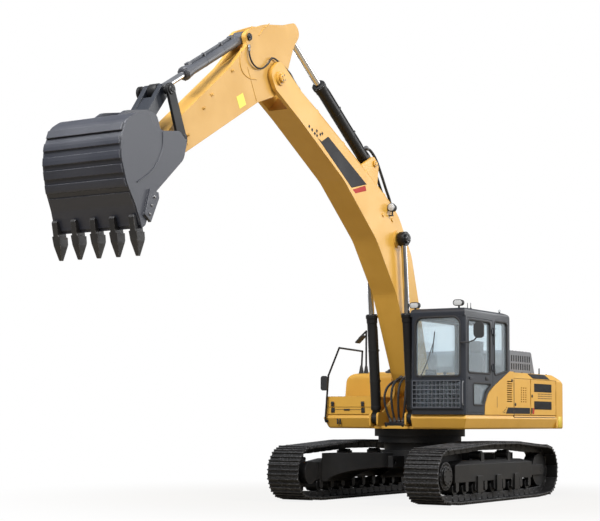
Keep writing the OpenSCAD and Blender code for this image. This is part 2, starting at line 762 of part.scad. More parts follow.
cab_hinge_z = [2240, 2860];
module cab_frame() {
    color(cab_grey) placed() for (z = cab_hinge_z) {
        translate([door_rear - 12, deck_y + 22, z - 24]) cylinder(r = 8, h = 128);
        for (k = [-24, 88])
            block([door_rear - 70, deck_y - 10, z + k], [door_rear - 2, deck_y + 32, z + k + 16]);
    }
    color(cab_grey) placed() difference() {
        block([cab_rear, cab_inner, deck_top], [cab_front, deck_y, roof_z]);
        block([cab_rear + wall_t, cab_inner + wall_t, deck_top + 60],
            [cab_front - wall_t, deck_y - wall_t, roof_z + 10]);
        // round corner posts at the front
        for (y = [cab_inner, deck_y])
            translate([cab_front, y, deck_top - 10]) difference() {
                cube([120, 120, 4000], center = true);
                translate([-60, y > 900 ? -60 : 60, -2100]) cylinder(r = 60, h = 4200);
            }
        plate(deck_y - wall_t - 10, deck_y + 10) {
            polygon(rounded(door_hole));
            polygon(rounded(quarter_window));
            // room for the lower rear cover
            polygon([
                [460 + seam, deck_top - 10], [450 + seam, 1640], [315, 1843], [51, 1985], [-700, 2285],
                [-700, deck_top - 10]
            ]);
        }
        plate(cab_inner - 10, cab_inner + wall_t + 10) polygon(rounded(right_window));
        wall_x(cab_front - wall_t - 10, cab_front + 10) {
            polygon(rounded(front_window));
            polygon(rounded(front_low_window));
        }
        wall_x(cab_rear - 10, cab_rear + wall_t + 10) polygon(rounded(rear_window));
    }
}
module cab_roof() {
    color(cab_grey) placed() intersection() {
        plate(cab_inner - 10, deck_y + 10) polygon(rounded([
            [cab_front, roof_z, 0], [cab_front, cab_top, 80], [cab_rear + 240, cab_top, 300],
            [cab_rear, cab_top - 34, 80], [cab_rear, roof_z, 0]
        ]));
        wall_x(cab_rear - 10, cab_front + 10) polygon(rounded([
            [cab_inner, roof_z, 0], [deck_y, roof_z, 0], [deck_y, cab_top, 55], [cab_inner, cab_top, 55]
        ]));
    }
}
module cab_glass() {
    color(pane) placed() {
        plate(deck_y - 30, deck_y - 22) polygon(rounded(quarter_window));
        plate(cab_inner + 22, cab_inner + 30) polygon(rounded(right_window));
        wall_x(cab_front - 30, cab_front - 22) polygon(rounded(front_window));
        wall_x(cab_front - 30, cab_front - 22) polygon(rounded(front_low_window));
        wall_x(cab_rear + 22, cab_rear + 30) polygon(rounded(rear_window));
    }
}
module cab_guard() {
    color(dark) placed() difference() {
        block([cab_front, 480, 1560], [cab_front + 30, 1440, 2060]);
        for (i = [0 : 11], k = [0 : 5])
            block([cab_front - 10, 520 + i * 74, 1596 + k * 74],
                [cab_front + 50, 580 + i * 74, 1656 + k * 74]);
    }
}
module operator_chair() {
    color(dark) placed() {
        block([-60, 860, deck_top + 60], [240, 1120, 1820]);
        plate(770, 1210) polygon(rounded([[330, 1800, 40], [330, 1930, 60], [-200, 1900, 40],
            [-200, 1800, 30]]));
        plate(780, 1200) polygon(rounded([[-230, 1850, 30], [-70, 1850, 30], [-170, 2560, 50],
            [-310, 2560, 50]]));
        plate(880, 1100) polygon(rounded([[-190, 2500, 10], [-225, 2760, 30], [-310, 2760, 30],
            [-285, 2500, 10]]));
    }
}
module cab_consoles() {
    color(dark) placed() {
        for (y = [600, 1240]) {
            block([-120, y, deck_top + 60], [420, y + 130, 2020]);
            translate([340, y + 65, 2020]) cylinder(r = 18, h = 180);
            translate([340, y + 65, 2200]) sphere(r = 34);
        }
        // display on a stalk
        block([1010, 640, 2050], [1040, 840, 2230]);
        block([1015, 725, deck_top + 60], [1035, 755, 2050]);
        // travel levers
        for (y = [900, 1040]) block([880, y - 40, deck_top + 60], [1000, y + 40, deck_top + 80]);
    }
}
module cab_door() {
    color(cab_grey) placed() {
        plate(deck_y - wall_t, deck_y) difference() {
            polygon(rounded(door_rows));
            polygon(rounded(door_window));
            polygon(rounded(door_low_window));
        }
        // handle
        block([980, deck_y, 2060], [1080, deck_y + 20, 2100]);
        // knuckles and their leaves
        for (z = cab_hinge_z) difference() {
            union() {
                translate([door_rear - 12, deck_y + 22, z]) cylinder(r = 16, h = 80);
                block([door_rear - 12, deck_y + 8, z], [door_rear + 70, deck_y + 20, z + 80]);
                block([door_rear + 10, deck_y - 10, z], [door_rear + 70, deck_y + 20, z + 80]);
            }
            translate([door_rear - 12, deck_y + 22, z - 10]) cylinder(r = 8 + pin_play, h = 100);
        }
    }
}
module door_glass() {
    color(pane) placed() plate(deck_y - 30, deck_y - 22) {
        polygon(rounded(door_window));
        polygon(rounded(door_low_window));
    }
}

// boom in its own frame: from the foot along the line to the nose
boom_rows = [
    [-190, -40, 150], [-120, 190, 120], [1130, 880, 500], [1930, 1300, 500], [2770, 1450, 900],
    [3650, 1190, 500],
    [6000, 400, 400], [6820, 210, 150], [6850, -150, 150], [6560, -210, 100], [5880, 0, 300],
    [4330, 410, 900],
    [2960, 540, 900], [1850, 400, 500], [450, -110, 300], [60, -190, 120]
];
slot_half = stick_w / 2 + 10;
module boom() {
    eye = in_boom(boom_cyl_eye);
    arm = in_boom(arm_cyl_foot);
    color(yellow) placed() on_boom() difference() {
        union() {
            plate(-boom_w / 2, boom_w / 2) polygon(rounded(boom_rows));
            bar_y([0, 0], 165, -246, 246);
            // bosses for the boom cylinders' rods
            bar_y(eye, 150, -250, 250);
            // lugs for the stick cylinder
            pair() plate(106, 150) polygon(rounded([
                [arm.x - 420, 1180, 0], [arm.x - 110, arm.y + 90, 90], [arm.x + 110, arm.y + 70, 90],
                [arm.x + 330, 1000, 0]
            ]));
            bar_y(arm, 42, -164, 164);
            // pin of the stick
            bar_y([boom_l, 0], 56, -285, 285);
            bar_y([boom_l, 0], 105, boom_w / 2 - 10, boom_w / 2 + 30);
            bar_y([boom_l, 0], 105, -boom_w / 2 - 30, -boom_w / 2 + 10);
        }
        bar_y([0, 0], 60 + pin_play, -300, 300);
        // fork for the stick
        difference() {
            plate(-slot_half, slot_half)
                polygon([[boom_l - 500, -900], [boom_l - 500, 900], [7600, 900], [7600, -900]]);
            bar_y([boom_l, 0], 56, -300, 300);
        }
    }
}

// cylinders in their own frames: X from the foot pin to the rod's eye
module barrel(r, l, eye_half, pin_r) {
    difference() {
        union() {
            bar_y([0, 0], r * 1.12, -eye_half, eye_half);
            translate([0, -eye_half, -r * 0.6]) cube([r * 2, 2 * eye_half, r * 1.2]);
            translate([r * 1.7, 0, 0]) rotate([0, 90, 0]) cylinder(r = r, h = l - r * 1.7);
            translate([l - 70, 0, 0]) rotate([0, 90, 0]) cylinder(r = r * 1.06, h = 70);
        }
        bar_y([0, 0], pin_r + pin_play, -eye_half - 1, eye_half + 1);
        translate([r * 2.4, 0, 0]) rotate([0, 90, 0]) cylinder(r = r * 0.58 + pin_play, h = l);
    }
}
module ram(r, from, l, eye_half, eye_r) {
    translate([from, 0, 0]) rotate([0, 90, 0]) cylinder(r = r, h = l - from);
    bar_y([l, 0], eye_r, -eye_half, eye_half);
}
boom_cyl_l = norm(boom_cyl_eye - boom_cyl_foot);
arm_cyl_l = norm(arm_cyl_eye - arm_cyl_foot);
bucket_cyl_l = norm(joint_pin - bucket_cyl_foot);
module boom_barrels() {
    color(dark) placed() for (s = [-1, 1])
        translate([0, s * boom_cyl_y, 0]) along(boom_cyl_foot, boom_cyl_eye)
            barrel(boom_barrel_r, boom_barrel_l, 50, 45);
}
module boom_rods() {
    color(chrome) placed() for (s = [-1, 1])
        translate([0, s * boom_cyl_y, 0]) along(boom_cyl_foot, boom_cyl_eye) {
            ram(boom_barrel_r * 0.58, boom_cyl_l - boom_rod_l, boom_cyl_l, 58, 118);
            bar_y([boom_cyl_l, 0], 62, s > 0 ? 0 : -85, s > 0 ? 85 : 0);
        }
}
module arm_barrel() {
    color(dark) placed() along(arm_cyl_foot, arm_cyl_eye) barrel(arm_barrel_r, arm_barrel_l, 98, 42);
}
module arm_rod() {
    color(chrome) placed() along(arm_cyl_foot, arm_cyl_eye)
        ram(arm_barrel_r * 0.58, arm_cyl_l - arm_rod_l, arm_cyl_l, 74, 112);
}
module bucket_barrel() {
    color(dark) placed() along(bucket_cyl_foot, joint_pin) barrel(bucket_barrel_r, bucket_barrel_l, 74, 40);
}
module bucket_rod() {
    color(chrome) placed() along(bucket_cyl_foot, joint_pin)
        ram(bucket_barrel_r * 0.58, bucket_cyl_l - bucket_rod_l, bucket_cyl_l, 70, 100);
}

// stick in its own frame: from the boom's nose to the bucket pin
stick_rows = [
    [-1030, 400, 120], [-950, 600, 120], [-616, 660, 200], [-128, 815, 150], [320, 876, 80],
    [490, 852, 78],
    [505, 690, 80], [1059, 545, 500], [2712, 290, 300], [3300, 150, 140], [3350, -100, 140],
    [3100, -170, 140], [2400, -165, 300],
    [647, -150, 400], [180, -220, 150], [-180, -160, 180], [-700, 250, 300]
];
stick_core_rows = [
    [-420, 240, 60], [-300, 560, 60], [-128, 640, 60], [560, 590, 150], [1059, 545, 300], [2712, 290, 300],
    [3300, 150, 140], [3350, -100, 140], [3100, -170, 140], [2400, -165, 300], [647, -150, 400],
    [180, -220, 150], [-180, -160, 180]
];
module stick() {
    ram_foot = in_stick(bucket_cyl_foot);
    link = in_stick(side_link_pin);
    half = stick_w / 2;
    color(yellow) placed() on_stick() difference() {
        union() {
            pair() plate(82, half) polygon(rounded(stick_rows));
            plate(-90, 90) polygon(rounded(stick_core_rows));
            bar_y([0, 0], 190, -half - 4, half + 4);
            bar_y(ram_foot, 40, -half - 12, half + 12);
            bar_y(link, 48, -272, 272);
            bar_y([stick_l, 0], 48, -218, 218);
        }
        bar_y([0, 0], 56 + pin_play, -300, 300);
    }
}

// side links on the stick and the link to the bucket
module side_links() {
    l = norm(joint_pin - side_link_pin);
    color(dark) placed() along(side_link_pin, joint_pin) for (s = [-1, 1]) {
        plate(s > 0 ? 224 : -264, s > 0 ? 264 : -224) difference() {
            union() {
                circle(r = 105);
                translate([l, 0]) circle(r = 95);
                polygon([[0, -95], [l, -80], [l, 80], [0, 95]]);
            }
            circle(r = 48 + pin_play);
        }
        // half of the pin to the middle
        bar_y([l, 0], 45, s > 0 ? 86 : -230, s > 0 ? 230 : -86);
    }
}
module bucket_link() {
    l = norm(ear_pin - joint_pin);
    color(dark) placed() along(joint_pin, ear_pin) {
        pair() plate(80, 158) difference() {
            union() {
                circle(r = 95);
                polygon([[0, -90], [l, -75], [l, 75], [0, 90]]);
            }
            circle(r = 45 + pin_play);
        }
        plate(-158, 158) {
            translate([l, 0]) circle(r = 100);
            polygon([[190, -62], [l, -75], [l, 75], [190, 62]]);
        }
    }
}

// bucket side plate about the bucket pin: neck, back and lip
bucket_rows = [
    [220, 60, 60], [360, 190, 90], [700, 140, 150], [880, 190, 120], [930, 320, 60], [1180, 300, 220],
    [bucket_reach - 100, 170, 250], [bucket_reach, -100, 300], [bucket_reach, -330, 300],
    [bucket_reach - 90, -640, 400],
    [1265, -880, 300], [1180, -1080, 300], [1150, -1175, 0], [1085, -1130, 0], [879, -690, 300],
    [300, -180, 200]
];
lip = [1118, -1150];
mouth = [lip.x - 220, lip.y - 60] / norm([lip.x - 220, lip.y - 60]);
// heights of the wear straps' middles
strap_z = [78, -101, -288, -459, -630];
// leans a side plate in about the line of the mouth
module leaned(side) {
    at = [lip.x, side * bucket_w / 2, lip.y];
    translate(at) rotate(a = side * bucket_taper, v = [mouth.x, 0, mouth.y]) translate(-at) children();
}
module bucket_sheet() {
    difference() {
        polygon(rounded(bucket_rows));
        polygon(rounded(scaled(bucket_rows, bucket_mid, 0.935)));
        polygon([
            [1100, -1120], [1085, -1130], [879, -690], [300, -180], [230, 40], [340, 60], [500, -60],
            [1000, -560]
        ]);
        polygon([[100, -100], [300, 50], [600, -250], [1040, -900], [1090, -1128], [900, -1128],
            [400, -700]]);
    }
}
module wear_band(z0, z1, k) {
    intersection() {
        difference() {
            polygon(rounded(scaled(bucket_rows, bucket_mid, k)));
            polygon(rounded(scaled(bucket_rows, bucket_mid, 0.96)));
        }
        polygon([[1130, z0], [1800, z0], [1800, z1], [1130, z1]]);
    }
}
module bucket() {
    half = bucket_w / 2;
    ear = ear_pin - bucket_pin;
    color(dark) placed() on_bucket() difference() {
        union() {
            for (s = [-1, 1]) leaned(s) {
                plate(s > 0 ? half - bucket_t : -half,
                    s > 0 ? half : bucket_t - half) polygon(rounded(bucket_rows));
                // side cutter on the leading edge
                plate(s > 0 ? half - 12 : -half - 30, s > 0 ? half + 30 : 12 - half)
                    polygon([[1010, -660], [1120, -1000], [1010, -1085], [840, -760], [850, -690]]);
            }
            difference() {
                union() {
                    plate(-half, half) bucket_sheet();
                    for (z = strap_z) plate(-half, half) wear_band(z - 52, z + 52, strap_k);
                    plate(-half, half) wear_band(-1140, -745, 1.03);
                }
                for (s = [-1, 1])
                    leaned(s) block([-500, s > 0 ? half - 15 : -half - 600, -2000],
                        [2500, s > 0 ? half + 600 : 15 - half, 2000]);
            }
            // ears
            pair() plate(166, 214) difference() {
                polygon(rounded([
                    [-120, 60, 100], [-60, -120, 100], [200, -90, 60], [420, 110, 60], [960, 250, 60],
                    [1060, 300, 0],
                    [880, 420, 150], [ear.x + 90, ear.y + 120, 110], [ear.x - 120, ear.y + 90, 110],
                    [80, 180, 200]
                ]));
                circle(r = 48 + pin_play);
            }
        }
        // inside of the mouth kept clear of the ears
        plate(-240, 240) polygon(rounded(scaled(bucket_rows, bucket_mid, 0.93)));
    }
}
// a tooth from the side and from the front, point down
tooth_rows = [[1085, -1130], [1150, -1175], [1182, -1143], [1226, -1020], [1260, -1012], [1272, -1040],
    [1232, -1215], [1205, -1330], [1132, -1515], [1100, -1515], [1050, -1300]];
tooth_front = [[-40, -1000], [40, -1000], [40, -1205], [62, -1212], [54, -1330], [20, -1525],
    [-20, -1525], [-54, -1330], [-62, -1212], [-40, -1205]];
module bucket_teeth() {
    color(steel) placed() on_bucket() for (n = [0 : tooth_count - 1])
        translate([0, -tooth_span / 2 + n * tooth_span / (tooth_count - 1), 0]) intersection() {
            plate(-100, 100) polygon(tooth_rows);
            wall_x(900, 1400) polygon(tooth_front);
        }
}

car_body();
slew_bearing();
track_frame_left();
track_frame_right();
track_left();
track_right();
sprockets();
travel_motors();
idlers();
bottom_rollers();
carrier_rollers();
main_frame();
slew_ring_top();
counterweight();
engine_block();
bay_frame();
side_cover();
fuel_tank();
oil_tank();
toolbox();
handrails();
mirrors();
lamps();
cab_frame();
cab_roof();
cab_glass();
cab_guard();
operator_chair();
cab_consoles();
cab_door();
door_glass();
left_front_door();
left_rear_door();
right_door();
hood();
toolbox_lid();
boom();
boom_barrels();
boom_rods();
arm_barrel();
arm_rod();
stick();
bucket_barrel();
bucket_rod();
side_links();
bucket_link();
bucket();
bucket_teeth();
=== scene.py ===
# %% [markdown]
# # A crawler excavator in Blender
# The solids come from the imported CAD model. They stay where they are and move with their bodies. This
# lesson dresses them: it sets the camera, builds the paints and metals, and adds the small pieces that a
# machine like this carries, such as bolts, hoses, seals and grilles.

# %% Load the frame
import bpy
import bmesh
import math
from mathutils import Matrix, Vector

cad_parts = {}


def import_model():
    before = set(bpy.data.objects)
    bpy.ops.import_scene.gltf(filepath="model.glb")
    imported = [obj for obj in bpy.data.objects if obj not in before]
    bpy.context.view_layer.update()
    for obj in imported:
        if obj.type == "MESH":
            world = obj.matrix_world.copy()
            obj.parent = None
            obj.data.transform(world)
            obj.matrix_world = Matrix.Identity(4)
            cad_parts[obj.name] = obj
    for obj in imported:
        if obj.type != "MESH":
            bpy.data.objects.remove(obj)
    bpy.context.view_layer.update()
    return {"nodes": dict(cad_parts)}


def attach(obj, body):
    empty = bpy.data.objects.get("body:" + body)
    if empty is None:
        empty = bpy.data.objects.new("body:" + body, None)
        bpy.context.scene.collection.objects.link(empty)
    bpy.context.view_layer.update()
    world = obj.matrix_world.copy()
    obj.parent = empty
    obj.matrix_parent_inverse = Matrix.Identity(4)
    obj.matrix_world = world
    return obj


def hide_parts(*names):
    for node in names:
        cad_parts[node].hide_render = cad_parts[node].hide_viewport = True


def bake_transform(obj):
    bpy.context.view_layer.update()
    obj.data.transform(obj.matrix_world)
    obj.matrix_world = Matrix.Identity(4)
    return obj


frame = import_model()
NODES = frame["nodes"]
SLEW = Vector((-2.96975, -0.11, 0.0))
SIDES = (-1, 1)


def world(x, y, z):
    """A point given from the slewing axis, in metres, in the shared frame."""
    return Vector((x, y, z)) + SLEW


def link(obj):
    bpy.context.scene.collection.objects.link(obj)
    return obj


# %% [markdown]
# ## The camera
# The picture was taken from the front left with a long lens, low over the ground. The place, the turn and
# the focal length were solved from the track's corners, the cab and the deck, so that each pixel of the
# render falls on the same spot of the machine.

# %% Camera
PHOTO_WIDTH, PHOTO_HEIGHT = 600.0, 521.0
PHOTO_FOCAL = 1481.25
PHOTO_MIDDLE = (313.07, 304.88)
CAMERA_SPOT = (23.592, 12.0465, 1.3695)
CAMERA_SWING, CAMERA_PITCH, CAMERA_ROLL = 0.07208, 0.07746, 0.00502
SENSOR = 36.0


def place_camera():
    heading = math.atan2(-CAMERA_SPOT[1], -CAMERA_SPOT[0]) + CAMERA_SWING
    level = math.cos(CAMERA_PITCH)
    ahead = Vector((math.cos(heading) * level, math.sin(heading) * level, math.sin(CAMERA_PITCH)))
    right = ahead.cross(Vector((0, 0, 1))).normalized()
    up = right.cross(ahead)
    cosine, sine = math.cos(CAMERA_ROLL), math.sin(CAMERA_ROLL)
    turn = Matrix((cosine * right + sine * up, cosine * up - sine * right, -ahead)).transposed().to_4x4()
    data = bpy.data.cameras.new("camera")
    data.sensor_fit = "HORIZONTAL"
    data.sensor_width = SENSOR
    data.lens = PHOTO_FOCAL * SENSOR / PHOTO_WIDTH
    data.shift_x = (PHOTO_WIDTH / 2 - PHOTO_MIDDLE[0]) / PHOTO_WIDTH
    data.shift_y = (PHOTO_MIDDLE[1] - PHOTO_HEIGHT / 2) / PHOTO_WIDTH
    data.clip_end = 200.0
    camera = link(bpy.data.objects.new("camera", data))
    camera.matrix_world = Matrix.Translation(world(*CAMERA_SPOT)) @ turn
    bpy.context.scene.camera = camera
    return camera


camera = place_camera()
print("camera at", [round(v, 2) for v in camera.location], "lens", round(camera.data.lens, 1), "mm")

# %% [markdown]
# ## Helpers for node trees
# Materials, the studio and the repeating pieces are all node trees. A few helpers keep them short: they
# add a node with its options and feed its inputs, with constants or from other nodes.

# %% Node helpers
def feed(tree, socket, value):
    """Links a socket to another one, or sets it to a constant; colours are given without their alpha."""
    if isinstance(value, bpy.types.NodeSocket):
        tree.links.new(value, socket)
    elif socket.type == "RGBA":
        socket.default_value = (*value, 1.0)
    else:
        socket.default_value = value


def feed_all(tree, node, **inputs):
    """Feeds inputs by name, with an underscore for each space."""
    for label, value in inputs.items():
        feed(tree, node.inputs[label.replace("_", " ")], value)
    return node


def put(tree, kind, options=None, **inputs):
    """Adds a node with its own options and its inputs."""
    node = tree.nodes.new(kind)
    for label, value in (options or {}).items():
        setattr(node, label, value)
    return feed_all(tree, node, **inputs)


def math_node(tree, operation, a, b, clamp=False):
    node = put(tree, "ShaderNodeMath", {"operation": operation, "use_clamp": clamp})
    for socket, value in zip(node.inputs, (a, b)):
        feed(tree, socket, value)
    return node.outputs[0]


def spread(tree, value, low, high, first=0.0, last=1.0):
    """Stretches a value from low..high to first..last with a soft step."""
    node = put(tree, "ShaderNodeMapRange", {"interpolation_type": "SMOOTHSTEP"}, Value=value,
               From_Min=low, From_Max=high, To_Min=first, To_Max=last)
    return node.outputs["Result"]


def object_place(tree):
    return tree.nodes.new("ShaderNodeTexCoord").outputs["Object"]


def new_material(name):
    """A material, its tree and the shader that it starts with."""
    material = bpy.data.materials.new(name)
    material.use_nodes = True
    return material, material.node_tree, material.node_tree.nodes["Principled BSDF"]


print("node helpers ready")

# %% [markdown]
# ## Floor and light
# The machine stands in a white studio. A wide lamp high on the cab side lights the flanks, one high in
# front lights the tanks and leaves the undersides dark, a third lies in the flanks' mirror direction and
# gives the paint its pale sheen, and a weak one on the other side opens the shadows. The world is an even
# pale grey. The floor shows white to the camera but still takes a soft shadow, because its white is only
# partly its own glow.

# %% Lamps
# name, place, aim, size in metres and power in watts
LAMPS = [
    ("key_lamp", (2, 19, 16), (1.5, 0, 2.5), 9.0, 4400),
    ("front_lamp", (17, 0, 17.5), (1, 0, 2), 13.0, 5900),
    ("sheen_lamp", (-19, 14, 11), (2, 0, 4), 14.0, 2100),
    ("fill_lamp", (-6, -16, 9), (0, 0, 3), 10.0, 1500),
]


def area_lamp(name, spot, aim, size, power):
    data = bpy.data.lights.new(name, "AREA")
    data.shape = "DISK"
    data.size = size
    data.energy = power
    lamp = link(bpy.data.objects.new(name, data))
    lamp.location = world(*spot)
    lamp.rotation_euler = (Vector(aim) - Vector(spot)).to_track_quat("-Z", "Y").to_euler()


for row in LAMPS:
    area_lamp(*row)
bpy.context.scene.view_settings.view_transform = "Standard"
print("lamps:", [row[0] for row in LAMPS])

# %% World and floor
WHITE = (1.0, 1.0, 1.0)
WORLD_COLOUR, WORLD_STRENGTH = (0.80, 0.83, 0.88), 0.42
FLOOR_COLOUR, FLOOR_HALF = (0.29, 0.25, 0.19), 90.0
# the floor's own glow grows between two distances from the machine
GLOW_FROM, GLOW_TO, GLOW_LEAST = 3.0, 9.0, 0.86


def white_to_the_eye(tree):
    """A factor that is 1 for rays from the camera and through glass."""
    rays = tree.nodes.new("ShaderNodeLightPath")
    return math_node(tree, "MAXIMUM", rays.outputs["Is Camera Ray"], rays.outputs["Is Transmission Ray"])


def mixed_surface(tree, output, factor, plain, bright):
    """Mixes two shaders into a tree's output."""
    mix = put(tree, "ShaderNodeMixShader", Fac=factor)
    tree.links.new(plain.outputs[0], mix.inputs[1])
    tree.links.new(bright.outputs[0], mix.inputs[2])
    put(tree, output, Surface=mix.outputs[0])


def make_world():
    data = bpy.data.worlds.new("studio")
    bpy.context.scene.world = data
    data.use_nodes = True
    tree = data.node_tree
    tree.nodes.clear()
    soft = put(tree, "ShaderNodeBackground", Color=WORLD_COLOUR, Strength=WORLD_STRENGTH)
    bright = put(tree, "ShaderNodeBackground", Color=WHITE, Strength=1.0)
    mixed_surface(tree, "ShaderNodeOutputWorld", white_to_the_eye(tree), soft, bright)


def make_floor():
    mesh = bpy.data.meshes.new("floor")
    corners = [(-FLOOR_HALF, -FLOOR_HALF, 0), (FLOOR_HALF, -FLOOR_HALF, 0),
               (FLOOR_HALF, FLOOR_HALF, 0), (-FLOOR_HALF, FLOOR_HALF, 0)]
    mesh.from_pydata(corners, [], [(0, 1, 2, 3)])
    floor = link(bpy.data.objects.new("floor", mesh))
    floor.location = world(0, 0, 0)
    material, tree, _ = new_material("studio_floor")
    tree.nodes.clear()
    matt = put(tree, "ShaderNodeBsdfDiffuse", Color=FLOOR_COLOUR)
    glow = put(tree, "ShaderNodeEmission", Color=WHITE)
    away = put(tree, "ShaderNodeVectorMath", {"operation": "LENGTH"})
    tree.links.new(object_place(tree), away.inputs[0])
    share = spread(tree, away.outputs["Value"], GLOW_FROM, GLOW_TO, GLOW_LEAST, 1.0)
    factor = math_node(tree, "MULTIPLY", white_to_the_eye(tree), share)
    mixed_surface(tree, "ShaderNodeOutputMaterial", factor, matt, glow)
    mesh.materials.append(material)


make_world()
make_floor()
print("studio: white floor and pale world")

# %% [markdown]
# ## Shared surface effects
# Paint, steel and rubber never have one flat colour. Three node groups give what they share: *weather*
# makes large soft blotches, fine grain and a dust mask that grows towards the ground, *edges* finds the
# worn edges, which on the track steel also take a painted highlight, by comparing the true normal with a
# rounded one, and *scratches* stretches noise into fine lines. The groups put out masks and normals only;
# each material decides what to do with them.

# %% Node groups
def new_group(name, inputs, outputs):
    group = bpy.data.node_groups.new(name, "ShaderNodeTree")
    for label, kind, value in inputs:
        socket = group.interface.new_socket(label, in_out="INPUT", socket_type=kind)
        if value is not None:
            socket.default_value = value
    for label, kind in outputs:
        group.interface.new_socket(label, in_out="OUTPUT", socket_type=kind)
    return group, group.nodes.new("NodeGroupInput").outputs, group.nodes.new("NodeGroupOutput")


def noise(tree, where, scale, detail=3.0, roughness=0.55):
    node = put(tree, "ShaderNodeTexNoise", Vector=where, Scale=scale, Detail=detail, Roughness=roughness)
    return node.outputs["Fac"]


def make_weather():
    group, enter, leave = new_group(
        "weather",
        [("Blotch Scale", "NodeSocketFloat", 1.2), ("Grain Scale", "NodeSocketFloat", 220.0),
         ("Dust Height", "NodeSocketFloat", 1.2)],
        [("Blotch", "NodeSocketFloat"), ("Grain", "NodeSocketFloat"), ("Dust", "NodeSocketFloat")],
    )
    where = object_place(group)
    split = put(group, "ShaderNodeSeparateXYZ", Vector=where)
    blotch = spread(group, noise(group, where, enter["Blotch Scale"], 4.0), 0.3, 0.7)
    grain = noise(group, where, enter["Grain Scale"], 2.0)
    height = math_node(group, "DIVIDE", split.outputs["Z"], enter["Dust Height"])
    low = math_node(group, "SUBTRACT", 1.0, height, True)
    cloud = spread(group, noise(group, where, 3.5, 6.0, 0.65), 0.35, 0.72)
    dust = math_node(group, "MULTIPLY", low, cloud, True)
    feed_all(group, leave, Blotch=blotch, Grain=grain, Dust=dust)
    return group


def make_edges():
    group, enter, leave = new_group(
        "edges",
        [("Radius", "NodeSocketFloat", 0.012), ("Breakup", "NodeSocketFloat", 26.0)],
        [("Edge", "NodeSocketFloat"), ("Normal", "NodeSocketVector")],
    )
    bevel = put(group, "ShaderNodeBevel", {"samples": 4}, Radius=enter["Radius"]).outputs["Normal"]
    true = group.nodes.new("ShaderNodeNewGeometry").outputs["Normal"]
    dot = put(group, "ShaderNodeVectorMath", {"operation": "DOT_PRODUCT"})
    group.links.new(bevel, dot.inputs[0])
    group.links.new(true, dot.inputs[1])
    turn = math_node(group, "SUBTRACT", 1.0, dot.outputs["Value"], True)
    chips = spread(group, noise(group, object_place(group), enter["Breakup"], 5.0, 0.7), 0.42, 0.62)
    edge = math_node(group, "MULTIPLY", spread(group, turn, 0.015, 0.16), chips, True)
    feed_all(group, leave, Edge=edge, Normal=bevel)
    return group


def make_scratches():
    group, enter, leave = new_group(
        "scratches",
        [("Stretch", "NodeSocketVector", None), ("Scale", "NodeSocketFloat", 14.0)],
        [("Line", "NodeSocketFloat")],
    )
    pull = put(group, "ShaderNodeVectorMath", {"operation": "MULTIPLY"})
    group.links.new(object_place(group), pull.inputs[0])
    group.links.new(enter["Stretch"], pull.inputs[1])
    fine = noise(group, pull.outputs[0], enter["Scale"], 8.0, 0.75)
    feed_all(group, leave, Line=spread(group, fine, 0.58, 0.7))
    return group


WEATHER = make_weather()
EDGES = make_edges()
SCRATCHES = make_scratches()
print("node groups:", WEATHER.name, EDGES.name, SCRATCHES.name)

# %% [markdown]
# ## Materials
# One builder makes every coated surface: a base colour that wavers with the blotches, a worn colour on
# the edges (on the track steel bright enough to paint edge highlights as well), dust low down, and a fine
# bump from the grain. Glass, lamp lenses and the rods need their own shaders.

# %% The coat builder
def use_group(tree, group, **values):
    return put(tree, "ShaderNodeGroup", {"node_tree": group}, **values).outputs


def colour_mix(tree, factor, a, b):
    node = put(tree, "ShaderNodeMix", {"data_type": "RGBA"})
    sockets = {socket.identifier: socket for socket in node.inputs}
    for label, value in (("Factor_Float", factor), ("A_Color", a), ("B_Color", b)):
        feed(tree, sockets[label], value)
    return next(socket for socket in node.outputs if socket.identifier == "Result_Color")


DUST_COLOUR = (0.33, 0.26, 0.18)
BLOTCH_ROUGHNESS, DUST_ROUGHNESS, COAT_ROUGHNESS = 0.10, 0.4, 0.18
RELIEF_DEPTH = 0.01


def coat(name, base, shade, worn, rough=0.42, metal=0.0, clear=0.0, wear=0.5, dust=0.5, dust_height=1.3,
         bump=0.06, grain=260.0, radius=0.012, worn_metal=0.6, gleam=0.5):
    """A coated surface: base and shade colours, the colour of worn edges (on the track steel also a painted
    highlight), and how strong each effect is.
    """
    material, tree, shader = new_material(name)
    weather = use_group(tree, WEATHER, Grain_Scale=grain, Dust_Height=dust_height)
    edges = use_group(tree, EDGES, Radius=radius)
    edge_wear_and_highlight = math_node(tree, "MULTIPLY", edges["Edge"], wear, True)
    dusty = math_node(tree, "MULTIPLY", weather["Dust"], dust, True)
    colour = colour_mix(tree, weather["Blotch"], base, shade)
    # the worn colour is edge wear, and on the track steel also a painted highlight
    colour = colour_mix(tree, edge_wear_and_highlight, colour, worn)
    colour = colour_mix(tree, dusty, colour, DUST_COLOUR)
    blotched = math_node(tree, "MULTIPLY", weather["Blotch"], BLOTCH_ROUGHNESS)
    rougher = math_node(tree, "MULTIPLY", dusty, DUST_ROUGHNESS)
    total = math_node(tree, "ADD", math_node(tree, "ADD", blotched, rougher), rough, True)
    steel = math_node(tree, "MAXIMUM", math_node(tree, "MULTIPLY", edge_wear_and_highlight, worn_metal), metal)
    relief = put(tree, "ShaderNodeBump", Strength=bump, Distance=RELIEF_DEPTH, Height=weather["Grain"],
                 Normal=edges["Normal"])
    feed_all(tree, shader, Base_Color=colour, Roughness=total, Metallic=steel, Specular_IOR_Level=gleam,
             Coat_Weight=clear, Coat_Roughness=COAT_ROUGHNESS, Normal=relief.outputs["Normal"])
    return material


print("coat builder ready")

